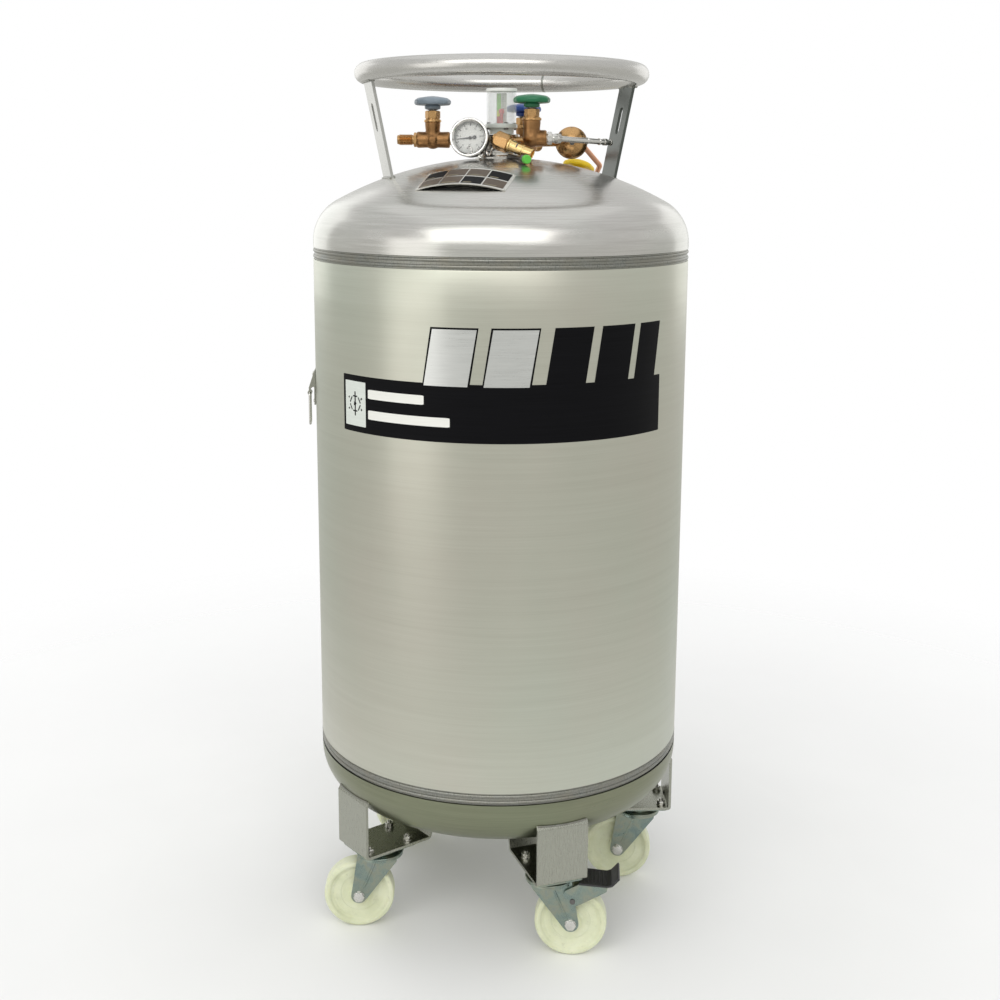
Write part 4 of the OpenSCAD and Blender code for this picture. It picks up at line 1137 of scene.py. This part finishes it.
def nipple(form, at, z0, length, r, bore):
    """A threaded outlet with a cone seat at its mouth."""
    form.add(lathe([(bore, z0), (r - 1.4, z0), (r - 1.4, z0 + 2.2), (bore, z0 + 2.2)], 40, closed=True), at)
    form.add(threaded(r, 1.8, z0 + 2, z0 + length - 3, bore, 40), at)
    form.spin([(bore, z0 + length - 5), (r - 1.6, z0 + length - 5), (r - 1.6, z0 + length - 1, 0.8),
               (r - 2.4, z0 + length, 0.4), (bore + 1.2, z0 + length, 0.3),
               (bore, z0 + length - 2)], 40, at, closed=True, steps=3)


def globe(name, at, inlet, outlet, length, neck_r):
    """One valve: a cast body with a neck, and an outlet that is threaded over length, or a socket."""
    cast_part = Form()
    end = outlet - length
    sideways = at @ ALONG_X
    cast_part.spin([(0, -inlet), (13.2, -inlet, 1.2), (14, -inlet + 2.5), (13.4, -8, 6), (15.6, 0, 8),
                    (13.4, 8, 6), (14, end - 3, 1), (13, end, 1.2), (0, end)], 48, sideways)
    ball = [(0, -15.8)] + arc(0, 0, 15.8, -86, 86, 16) + [(0, 15.8)]
    cast_part.add(lathe(ball, 48), at)
    cast_part.spin([(0, -4), (neck_r - 0.2, -4), (neck_r - 1.2, 14, 4),
                    (neck_r, 26, 3), (neck_r, 30.5), (0, 30.5)], 48, at)
    # a foundry boss on each side
    for s in (-1, 1):
        cast_part.spin([(0, 9), (6.5, 9), (6, 15.6, 1.4), (0, 15.9)], 28, at @ turn(90 * s, "X"))
    melted(name + "_casting", cast_part, "bronze")
    form = Form()
    # machined seat under the bonnet
    form.spin([(4.2, 30), (neck_r + 1.3, 30, 0.6), (neck_r + 1.5, 31.4, 0.5), (neck_r + 1.3, 34, 0.6),
               (neck_r - 0.6, 34.4, 0.4), (neck_r - 0.8, 36), (4.2, 36)], 64, at, closed=True)
    if length:
        form.nut(10.83, 5.4, 5.2, 0.9, end - 0.2, sideways)
        nipple(form, sideways, end + 5, length - 5, 9.5, 5.1)
        # bright cone seat just inside the mouth
        form.add(lathe([(5.05, outlet - 9), (6.0, outlet - 0.8),
                        (5.05, outlet - 0.8)], 36, closed=True), sideways, 1)
    else:
        form.spin([(5.2, outlet - 2), (12.4, outlet - 2), (12.4, outlet, 0.5),
                   (5.2, outlet)], 48, sideways, closed=True)
    piece(name + "_machined", form, ["bronze_turned", "fitting_steel"], "vessel",
          (name + "_valve_body",))


def bonnet(form, at, z, height):
    form.nut(11.5, height, 4.1, 1.3, z, at)
    form.spin([(4.1, z + height - 0.5), (7.2, z + height - 0.5), (6.9, z + height + 0.9, 0.5),
               (4.1, z + height + 0.9)], 40, at, 1, closed=True)


def handwheel(name, at, spindle, paint):
    """A mushroom handwheel with a shallow scalloped rim, moulded in plastic over a steel spindle."""
    form = Form()
    rim = 32.0
    side = softened([(12, 0.05), (13.8, 1.6, 0.8), (13.9, 6, 1), (11, 8, 2),
                     (23.5, 9, 1), (28.5, 7.2, 1.2)])
    rows = [(0, 0.05)] + side
    for a in range(-60, 61, 15):
        def scallop(t, a=a):
            dip = 0.5 - 0.5 * math.cos(math.radians(t * 10))
            return rim - 4 + (4 - 1.1 * dip) * cosd(a)
        rows.append((scallop, 12 + 5 * sind(a)))
    rows += softened([(27, 18.4), (24.5, 19.4, 1.5), (15, 20.9, 4), (8.4, 21.9, 1.0),
                      (7.4, 20.9, 0.6), (6.2, 20.8, 0.4), (5.4, 21.6, 0.5), (0, 22.0)])
    form.add(lathe(rows, 120), at)
    # the nut on top of the spindle, and the spindle below
    form.nut(3.6, 2.2, 0, 0.5, 20.3, at, 1)
    form.spin([(0, -spindle + 0.2), (3.95, -spindle + 0.2, 0.6), (3.95, 1), (0, 1)], 32, at, 1)
    form.spin([(3.9, 0.2), (9.4, 0.2), (9.2, -1.0, 0.5), (3.9, -1.1)], 40, at, 2, closed=True)
    node = name + "_handwheel"
    piece(name + "_knob", form, [paint, "fitting_steel", "dark_steel"], node, (node,), crease=40)


def make_valves():
    globe("vent", VENT_F, 30, 62, 34, 13.5)
    globe("gas", GAS_F, 0, 26, 0, 15.5)
    globe("liquid", LIQUID_F, 22, 64, 34, 13.5)

    form = Form()
    form.spin([(0, -7.5), (14.6, -7.5), (15, 9, 2.5), (12, 12.2, 3), (11.4, 20, 5),
               (12, 27, 2), (12, 29), (0, 29)], 48, BUILD_F)
    form.spin([(0, 0), (7.8, 0), (7.8, 25.6, 1), (0, 25.8)], 36, BUILD_F @ shift(0, 0, 8) @ turn(90, "X"))
    melted("build_casting", form, "bronze")
    form = Form()
    form.spin([(4.1, 28.6), (12.4, 28.6, 0.6), (12.4, 31.6, 0.6), (4.1, 32)], 48, BUILD_F, closed=True)
    form.nut(8.6, 7, 0, 0.9, 18.8, BUILD_F @ shift(0, 0, 8) @ turn(90, "X"))
    piece("build_machined", form, "bronze_turned", "vessel", ("build_valve_body",))

    form = Form()
    for at in (VENT_F, GAS_F, LIQUID_F):
        bonnet(form, at, 36, 13.6)
    bonnet(form, BUILD_F, 32, 6)
    piece("bonnet_hexes", form, ["bronze_turned", "dark_steel"], "vessel", ("bonnet_nuts",))

    for name, at, z, spindle, paint in (
            ("vent", VENT_F, 52, 44, "wheel_grey_blue"), ("gas", GAS_F, 52, 44, "wheel_green"),
            ("liquid", LIQUID_F, 52, 44, "wheel_blue"), ("build", BUILD_F, 40, 20, "wheel_yellow")):
        handwheel(name, at @ shift(0, 0, z), spindle, paint)

    form = Form()
    form.spin([(0, 1377.3), (31.4, 1377.3), (32, 1379, 0.8), (32, 1386.6, 0.5), (31.2, 1387.2, 0.4),
               (32, 1387.9, 0.5), (32, BLOCK_TOP - 1.2, 1), (30.8, BLOCK_TOP, 0.6), (0, BLOCK_TOP)], 72)
    piece("manifold_turned", form, "fitting_steel", "vessel", instead=("manifold_block",))


def stub(form, p, q, r, paint=0):
    form.add(tube([p, q], r, 28), None, paint)


def make_fittings():
    form = Form()
    stub(form, Vector((4 - BLOCK_R, 0, PORT_Z)), VENT_AT + Vector((30, 0, 0)), 8.8)
    form.nut(12.12, 13.6, 0, 1.4, 0, shift(-BLOCK_R - 16, 0, PORT_Z) @ ALONG_X)
    form.nut(12.12, 6, 0, 1.0, 0, shift(-BLOCK_R - 30, 0, PORT_Z) @ ALONG_X)

    def towards_liquid(r):
        return Vector((r * cosd(LIQUID_TURN), r * sind(LIQUID_TURN), LIQUID_AT.z))
    stub(form, towards_liquid(BLOCK_R - 4), towards_liquid(62), 8.8)
    form.nut(11.2, 9, 0, 1.2, 0, along(towards_liquid(BLOCK_R + 4), towards_liquid(80)))
    stub(form, Vector((BLOCK_R - 12, GAS_AT.y / 2, GAS_AT.z - 6)), GAS_AT + Vector((-6, 0, -6)), 8.8)
    stub(form, Vector((RELIEF_AT.x, 0, LOW_PORT_Z)), Vector((RELIEF_AT.x, RELIEF_AT.y + 6, LOW_PORT_Z)), 6.9)
    stub(form, Vector((20, 0, LOW_PORT_Z)), REG_AT + Vector((-14, 10, 0)), 5.9)
    start, end = Vector((GAUGE_AT.x, 0, PORT_Z)), GAUGE_AT + Vector((0, 4, 0))
    stub(form, start, end, 6.9, 1)
    form.nut(8.6, 8, 0, 1.0, 0, along(start + (end - start) * 0.42, end), 1)
    d = (CAP_TO - CAP_FROM).normalized()
    stub(form, CAP_FROM - d * 4, CAP_TO - d * 9, 3.9, 2)
    form.nut(6.4, 6, 0, 0.8, 62, along(CAP_FROM, CAP_TO), 2)
    form.add(threaded(4.9, 1.4, 68, 76.5, seg=28), along(CAP_FROM, CAP_TO), 2)
    piece("pipework", form, ["bronze_turned", "bright_brass", "dark_steel"],
          "vessel", ("pipe_fittings",))

    # the steel line: a compression union, the tube, and the nut against the regulator
    d = (LINE_TO - LINE_FROM).normalized()
    form = Form()
    socket = GAS_AT.x + 26.2
    form.spin([(0, 0), (8.4, 0, 0.8), (8.4, 11.5, 1), (0, 11.5)], 40,
              shift(socket - 1.5, GAS_AT.y, GAS_AT.z) @ ALONG_X)
    form.nut(9.5, 8.6, 0, 1.1, 0, shift(socket + 0.8, GAS_AT.y, GAS_AT.z) @ ALONG_X)
    path = rounded_path([LINE_FROM - Vector((2, 0, 0)), LINE_FROM, LINE_FROM + d * 14], 6)
    form.add(tube([LINE_FROM - Vector((5, 0, 0)), *path], 7.6, 32))
    form.nut(8.2, 8, 0, 1.0, 5, along(LINE_FROM, LINE_TO))
    line = rounded_path([LINE_FROM + d * 6, LINE_FROM + d * 50, LINE_TO], 5)
    form.add(tube(line, 4.9, 28))
    tip = along(LINE_FROM, LINE_TO)
    far = (LINE_TO - LINE_FROM).length
    form.nut(5.9, 6, 0, 0.7, far - 18, tip)
    form.spin([(0, far - 3.5), (5.6, far - 3.5, 0.5), (5.6, far - 0.2, 0.8), (0, far)], 30, tip)
    # two wire ties twisted round it
    for z0 in (far - 30, far - 58):
        loop = [(5.5 * cosd(a), 5.5 * sind(a), z0 + 1.1 * a / 360) for a in range(0, 721, 24)]
        form.add(tube(loop, 0.55, 8), tip, 1)
        tail = [(5.5 + 0.7 * cosd(a) + a / 90, 0.7 * sind(a) + 1, z0 + a / 220) for a in range(0, 1081, 45)]
        form.add(tube(tail, 0.45, 6), tip, 1)
    piece("steel_pipe", form, ["fitting_steel", "gauge_chrome"], "vessel", instead=("steel_line",))

    # the copper line from the build valve's side to the regulator's back
    inner, side = BUILD_F @ Vector((0, -26, 8)), BUILD_F @ Vector((0, -34, 8))
    first_bend = Vector((184, 150, 1352))
    back = REG_AT + Vector((0, 26, 0))
    run = rounded_path([inner, side, first_bend, (151, 113, 1386),
                        back + Vector((4, 17, 0)), back + Vector((0, 7, 0)), back], 9, 6)
    form = Form().add(tube(run, 4.7, 24))
    form.nut(7.6, 9, 0, 1.0, 3, along(side, first_bend), 1)
    form.nut(7.6, 6.5, 0, 1.0, 0, along(back + Vector((0, 6.6, 0)), back), 1)
    piece("build_pipe", form, ["copper", "bright_brass"], "vessel", instead=("build_line",))

    # green end cap, ribbed for the fingers
    form = Form()
    length = (CAP_TO - CAP_FROM).length

    def ribbed(a):
        return 7.1 + 0.4 * math.cos(math.radians(a * 18))
    form.add(lathe([(5.5, length - 10), (7.0, length - 10), (ribbed, length - 9.2), (ribbed, length - 2.4),
                    (6.9, length - 1.0), (6.2, length - 0.2), (0, length)], 108), along(CAP_FROM, CAP_TO))
    piece("end_cap", form, "cap_green", "vessel", instead=("port_cap",))


def make_relief():
    form = Form()
    form.spin([(0, -18), (6, -18), (8.4, -18, 0.8), (9, -17.2, 0.6), (9, -13), (0, -13)], 48, RELIEF_F)
    form.nut(13.86, 26, 0, 1.7, -13, RELIEF_F)
    form.spin([(0, 12.6), (11.4, 12.6), (12, 13.6, 0.5), (12, 16.6, 0.7), (10.2, 17.2, 0.4),
               (10, 20, 0.4), (9.9, 40, 0.3), (9.3, 41, 0.3), (9.3, 43.5, 0.3), (9.8, 44.5, 0.3),
               (9.5, 58, 1.2), (7.6, 59, 0.4), (7.1, 57), (7.1, 22), (0, 22)], 56, RELIEF_F, 1)
    form.nut(9.53, 11.6, 0, 1.2, 1379, shift(RELIEF_AT.x, RELIEF_AT.y, 0))
    form.spin([(0, 1377.6), (7.8, 1377.6), (7.8, 1393), (0, 1393)], 36, shift(RELIEF_AT.x, RELIEF_AT.y, 0))
    # adjusting screw at the closed end, and the seal wire through it
    form.spin([(0, -20.4), (3.1, -20.4, 0.6), (3.3, -18), (0, -18)], 24, RELIEF_F, 2)
    # a small vent slot each side of the outlet, drawn as a flat dark steel patch: painted shade where the
    # opening is
    for a in (60, 150, 240, 330):
        form.add(prism(rounded_rect(2.2, 8, 1.0), 9.35, 10.15),
                 RELIEF_F @ turn(a, "Z") @ shift(0, 0, 30) @ turn(90, "Y"), 2)
    piece("relief_body", form, ["bronze_turned", "bright_brass", "dark_steel"],
          "vessel", ("relief_valve",))

    form = Form()
    start, end = Vector((-58, -62, 1379)), Vector((-14, -66, 1374))
    pts = []
    for k in range(41):
        u = k / 40
        p = start.lerp(end, u)
        p += Vector((0, 3.0 * math.sin(u * 31), 5.0 * math.sin(u * 21) - 6 * math.sin(math.pi * u)))
        pts.append(p)
    form.add(tube(smooth_path(pts, 3), 1.25, 8))
    form.add(tube(smooth_path([p + Vector((0.6, 2.2, 1.6)) for p in pts[4:34]], 3), 1.0, 8))
    seal = Matrix.Translation(pts[20]) @ turn(70, "X")
    form.spin([(0, -1.6), (4.2, -1.6, 0.8), (4.2, 1.6, 0.8), (0, 1.6)], 28, seal, 1)
    piece("seal_wire", form, ["gauge_chrome", "fitting_steel"], "vessel")


def make_regulator():
    form = Form()
    form.spin([(0, -26), (12, -26), (20.5, -26, 2), (22, -23, 2), (21.4, -6, 2),
               (23.5, -1, 2), (23.5, 0.4), (0, 0.4)], 56, REG_F)
    melted("regulator_casting", form, "bronze", smooth=3)
    form = Form()
    form.spin([(0, 0.1), (27.6, 0.1), (28.4, 0.9, 0.5), (28.4, 6.2, 0.7),
               (27.5, 7, 0.4), (27.2, 7)], 80, REG_F)
    rim, deep = 27.5, 17.0
    big = (rim * rim + deep * deep) / (2 * deep)
    a0 = math.degrees(math.asin(rim / big))
    dome = [(big * sind(a0 * (1 - k / 16)),
             7 + deep - big + big * cosd(a0 * (1 - k / 16))) for k in range(17)]
    dome = [(r, z) for r, z in dome if r > 7] + softened([(7, 23.3), (6.4, 24.6, 0.5),
                                                          (3.1, 24.8, 0.3), (3.1, 12)])
    form.add(lathe([(27.5, 6.8)] + dome + [(0, 12)], 80), REG_F)
    for k in range(6):
        at = REG_F @ turn(60 * k + 30, "Z") @ shift(24.8, 0, 7)
        form.spin([(0, -0.2), (2.3, -0.2), (2.3, 2.2, 0.5), (1.4, 2.3), (1.3, 1.0), (0, 1.0)], 20, at, 1)
    piece("regulator_housing", form, ["bronze_turned", "dark_steel"], "vessel", ("regulator",))

    form = Form()
    form.add(threaded(2.98, 1.0, 8, 25.6, seg=24), REG_F)
    form.nut(4.3, 4.9, 0, 0.7, 25.5, REG_F)
    piece("regulator_adjuster", form, "dark_steel", "regulator_screw",
          ("regulator_screw",))


def digit_shape(text, size):
    """A dial numeral as flat faces, from the built-in font."""
    data = bpy.data.curves.new("numeral", "FONT")
    data.body = text
    data.size = size * MM
    data.align_x = "CENTER"
    data.align_y = "CENTER"
    data.resolution_u = 3
    ob = bpy.data.objects.new("numeral", data)
    scene.collection.objects.link(ob)
    bpy.context.view_layer.update()
    mesh = ob.to_mesh()
    shape = ([v.co / MM for v in mesh.vertices], [tuple(p.vertices) for p in mesh.polygons])
    ob.to_mesh_clear()
    bpy.data.objects.remove(ob)
    bpy.data.curves.remove(data)
    return shape


def make_gauge():
    r = 32.0
    form = Form()
    form.spin([(0, 0.2), (24, 0.2), (26, 0.2, 1.5), (r - 1.6, 2.2, 2), (r - 0.2, 5, 2), (r, 19),
               (r, 21, 0.4), (r + 0.9, 21.2, 0.4), (r + 0.9, 23.4, 0.4), (r - 0.4, 23.8, 0.4),
               (r - 3, 23.8, 0.4), (r - 3.05, 14.9), (0, 14.9)], 96, GAUGE_F)
    form.nut(7.5, 5.5, 0, 0.9, -5, GAUGE_F, 1)
    for k in range(3):
        at = GAUGE_F @ turn(120 * k + 40, "Z") @ shift(20, 0, 0) @ turn(180, "X")
        form.spin([(0, 0), (2.6, 0), (2.4, 1.2, 0.6), (0, 1.3)], 18, at, 1)
    piece("gauge_shell", form, ["gauge_black", "fitting_steel"], "vessel", instead=("gauge_case",))

    form = Form()
    form.spin([(1.6, 15.05), (28.9, 15.05), (28.9, 16.4, 0.2), (1.6, 16.4)], 96,
              GAUGE_F, closed=True, steps=2)
    top = 16.42

    def mark(angle, r0, r1, wide, paint=1):
        at = GAUGE_F @ turn(angle, "Z")
        form.add(block((r0, -wide / 2, top), (r1, wide / 2, top + 0.08)), at, paint)
    for k in range(51):
        mark(225 - 270 * k / 50, 23.0 if k % 5 else 20.6, 26.2, 0.5 if k % 5 else 1.15)
    for lo, hi, a1, paint in ((26.0, 26.5, 225, 1), (26.5, 27.7, 0, 2)):
        form.add(prism(arc(0, 0, hi, -45, a1, 60) + arc(0, 0, lo, a1, -45, 60), top,
                       top + 0.07), GAUGE_F, paint)
    for k in range(6):
        a = 225 - 54 * k
        form.add(digit_shape(str(k * 5), 4.6),
                 GAUGE_F @ shift(17.4 * cosd(a), 17.4 * sind(a), top + 0.06), 1)
    form.add(digit_shape("bar", 3.6), GAUGE_F @ shift(0, -10.5, top + 0.06), 1)
    piece("gauge_face", form, ["dial_white", "ink", "scale_red"], "vessel",
          instead=("gauge_dial",), crease=30)

    form = Form()
    form.spin([(r - 5, 24.05), (r + 0.6, 24.05, 0.4), (r + 1.45, 25, 0.6), (r + 1.45, 27, 0.8),
               (r, 28.5, 0.9), (r - 2, 28.5, 0.8), (r - 5, 25.4, 0.5)], 120, GAUGE_F, closed=True, steps=4)
    piece("gauge_rim", form, "gauge_chrome", "vessel", instead=("gauge_bezel",))

    form = Form()
    form.spin([(0, 22.1), (28.6, 22.1, 0.3), (28.6, 23.7, 0.4), (0, 23.95)], 96, GAUGE_F)
    piece("gauge_window", form, "gauge_glass", "vessel", instead=("gauge_lens",))

    form = Form()
    hub = GAUGE_F @ shift(0, 0, 15) @ turn(186, "Z")
    form.spin([(0, 0.4), (1.45, 0.4), (1.45, 2.6), (3, 2.7), (2.9, 3.7, 0.5),
               (1.0, 4.1, 0.4), (0, 4.1)], 32, hub)
    form.add(prism([(23, 0.45), (23, -0.45), (0, -1.6), (-6, -1.5), (-6, 1.5), (0, 1.6)], 2.7, 3.3), hub)
    form.spin([(0, 2.7), (3.5, 2.7, 0.1), (3.5, 3.3, 0.1), (0, 3.3)], 28, hub @ shift(-8, 0, 0))
    piece("gauge_pointer", form, "needle_black", "gauge_needle", instead=("gauge_needle",))


def make_level():
    r = 26.0
    form = Form()
    form.spin([(4.1, BLOCK_TOP + 0.2), (21.6, BLOCK_TOP + 0.2, 0.6), (22, BLOCK_TOP + 9, 1.2),
               (r + 1, BLOCK_TOP + 10, 0.8), (r + 2, BLOCK_TOP + 11, 0.8), (r + 2, BLOCK_TOP + 17, 0.9),
               (r + 0.6, BLOCK_TOP + 17.9, 0.5), (4.1, BLOCK_TOP + 17.9)], 72, closed=True)
    cap = [(0, SLEEVE_TOP + 5.9), (18, SLEEVE_TOP + 5.9), (r + 0.8, SLEEVE_TOP + 5.7, 1.2),
           (r + 1.4, SLEEVE_TOP + 0.4, 0.6), (r - 2.2, SLEEVE_TOP + 0.2),
           (r - 6, SLEEVE_TOP + 0.4), (r - 6.2, SLEEVE_TOP + 4), (0, SLEEVE_TOP + 4)]
    form.spin(cap, 72, None, 1)
    for k in range(4):
        at = turn(90 * k + 20, "Z") @ shift(r - 2.4, 0, BLOCK_TOP + 10.6)
        form.spin([(0, 0), (3.2, 0), (3.2, 9.6, 0.8), (1.6, 9.7), (1.5, 8.2), (0, 8.2)], 24, at, 2)
        form.spin([(0, -3), (4.2, -3, 0.5), (4.2, 0.2), (0, 0.2)], 24, at, 2)
    piece("level_ends", form, ["clear_base", "level_white", "dark_steel"], "vessel",
          ("level_fittings",))

    form = Form()
    form.spin([(r - 3, SLEEVE_Z + 0.1), (r, SLEEVE_Z + 0.1, 0.5), (r, SLEEVE_TOP, 0.5),
               (r - 3, SLEEVE_TOP, 0.3)], 96, closed=True, steps=3)
    piece("level_tube", form, "clear_sleeve", "vessel", instead=("level_sleeve",))

    form = Form()
    top = SLEEVE_TOP - 1.2
    form.add(block((-9, 9.6, SLEEVE_Z + 0.2), (9, 10.8, top)))
    zones = ((0.0, 0.24, 3), (0.24, 0.42, 2), (0.42, 1.0, 1))
    high = top - SLEEVE_Z - 2
    for lo, hi, paint in zones:
        form.add(block((-8, 9.2, SLEEVE_Z + 1 + high * lo),
                       (-1, 9.6, SLEEVE_Z + 1 + high * hi)), None, paint)
    for k in range(17):
        z = SLEEVE_Z + 1.5 + (high - 1) * k / 16
        w = 6.5 if k % 4 == 0 else 3.8
        form.add(block((0.5, 9.25, z - 0.25), (0.5 + w, 9.6, z + 0.25)), None, 4)
    piece("level_card", form, ["scale_white", "scale_green", "scale_yellow", "scale_red",
                               "ink"], "vessel", ("level_scale",), crease=30)

    form = Form()
    form.spin([(0, 250.2), (2.95, 250.2, 0.5), (2.95, 1439, 0.3), (4.6, 1440.2, 0.5), (4.8, 1441, 0.5),
               (4.8, 1446, 0.6), (4.2, 1447.6, 0.8), (0, 1448)], 40, None, 0)
    form.spin([(0, 260), (9, 260, 3), (9, 1080, 3), (0, 1080)], 40, None, 1)
    piece("float_and_rod", form, ["float_red", "level_white"], "level_float", ("level_float",))


def make_plate():
    mid = 208.0
    slope = math.degrees(math.asin(mid / CROWN_R))
    arch = 250.0
    sag = arch - math.sqrt(arch * arch - 75 * 75)
    base = at_az(-16) @ shift(mid, 0, dome_z(mid)) @ turn(slope, "Y") @ shift(0, 0, sag - arch - 6)

    def curved(w0, w1, l0, l1, r0, r1, steps=24):
        """A patch of the arch: l along the plate's length, w down the slope."""
        verts, faces = [], []
        for k in range(steps + 1):
            y = l0 + (l1 - l0) * k / steps
            a = math.asin(y / arch)
            for r, w in ((r0, w0), (r0, w1), (r1, w1), (r1, w0)):
                verts.append((w, r * math.sin(a), r * math.cos(a)))
        for k in range(steps):
            for j in range(4):
                a, b = 4 * k + j, 4 * k + (j + 1) % 4
                faces.append((a, b, b + 4, a + 4))
        faces.append((3, 2, 1, 0))
        faces.append(tuple(4 * steps + j for j in range(4)))
        return verts, faces

    form = Form()
    form.add(curved(-35.5, 35.5, -74.9, 74.9, arch, arch + 1.45, 48), base)
    # two rows of four plain dark panels in place of wording
    for row, (w0, w1) in enumerate(((-31, -2), (2, 31))):
        for k in range(4):
            l0 = -71 + 35.8 * k
            form.add(curved(w0, w1, l0, l0 + 33.6, arch + 1.2, arch + 1.6), base, 1 if (row + k) % 3 else 4)
            form.add(curved(w1 - 5, w1 - 2.4, l0 + 3, l0 + 17 + 5 * ((k + row) % 3),
                            arch + 1.4, arch + 1.7), base, 2)
    for l in (-71.5, 71.5):
        for w in (-32, 32):
            form.spin([(0, 0), (2.2, 0), (2.0, 1.0, 0.5), (0, 1.2)], 20,
                      base @ turn(-math.degrees(math.asin(l / arch)), "X") @ shift(w, 0, arch + 1.4), 3)
    piece("instruction_sheet", form, ["plate_silver", "plate_brown", "plate_olive",
                                      "fitting_steel", "film_black"], "vessel",
          ("instruction_plate",), crease=35)


def make_clip():
    at = turn(5, "Z")
    form = Form()
    back = -330.15
    outline = softened([(back, 930), (back - 2.8, 930, 0.8), (back - 2.8, 964, 2), (-341, 958, 0.6),
                        (-342.8, 960, 0.8), (back - 2.6, 990, 3), (back, 994)], True)
    form.add(prism(outline, -15, 15), at @ turn(90, "X"))
    form.spin([(2.1, -9), (4, -9, 0.5), (4, 9, 0.5), (2.1, 9)], 40,
              at @ shift(-341, 0, 951) @ turn(90, "X"), closed=True, steps=3)
    form.add(block((-342.4, -8.9, 952), (-339.6, 8.9, 960)), at)
    for z in (937, 985):
        for y in (-10, 10):
            form.spin([(0, 0), (3, 0), (2.6, 1.4, 0.9), (0, 1.7)], 22,
                      at @ shift(back - (2.8 if z < 964 else 4.4), y, z) @ turn(-90, "Y"), 1)
    piece("side_clip", form, ["bracket_steel", "fitting_steel"], "vessel",
          instead=("side_bracket",), crease=30, edge=0.3)
    half, high = 14.0, 56.0
    loop = rounded_path([(-341, half, 951), (-341, -half, 951), (-341, -half, 951 - high),
                         (-341, half, 951 - high)], 5.5, 6, closed=True)
    piece("link_bent", Form().add(tube(loop, 1.95, 16, closed=True), at),
          "fitting_steel", "hanging_link", instead=("hanging_link",))


for make in (make_vessel, make_handling_ring, make_label, make_casters, make_valves, make_fittings,
             make_relief, make_regulator, make_gauge, make_level, make_plate, make_clip):
    make()

# ---------------------------------------------------------------- floor

def make_floor():
    """A pale floor that fades into the white behind it."""
    verts, faces = lathe([(0, -0.4), (4000, -0.4), (30000, -0.4)], 96)
    mesh = bpy.data.meshes.new("floor")
    mesh.from_pydata([tuple(Vector(p) * MM) for p in verts], [], faces)
    floor = bpy.data.objects.new("floor", mesh)
    scene.collection.objects.link(floor)
    f = Finish("studio_floor", Roughness=0.8)
    f.colour(f.ramp(f.noise(1.5), (0.3, (0.88, 0.88, 0.88)), (0.7, (0.92, 0.92, 0.92))))
    span = f.node("ShaderNodeVectorMath", operation="LENGTH")
    f.join(f.where, span.inputs[0])
    f.join(f.range(span.outputs["Value"], 1.0, 0.0, 0.7, 2.2), f.b.inputs["Alpha"])
    mesh.materials.append(f.m)


make_floor()
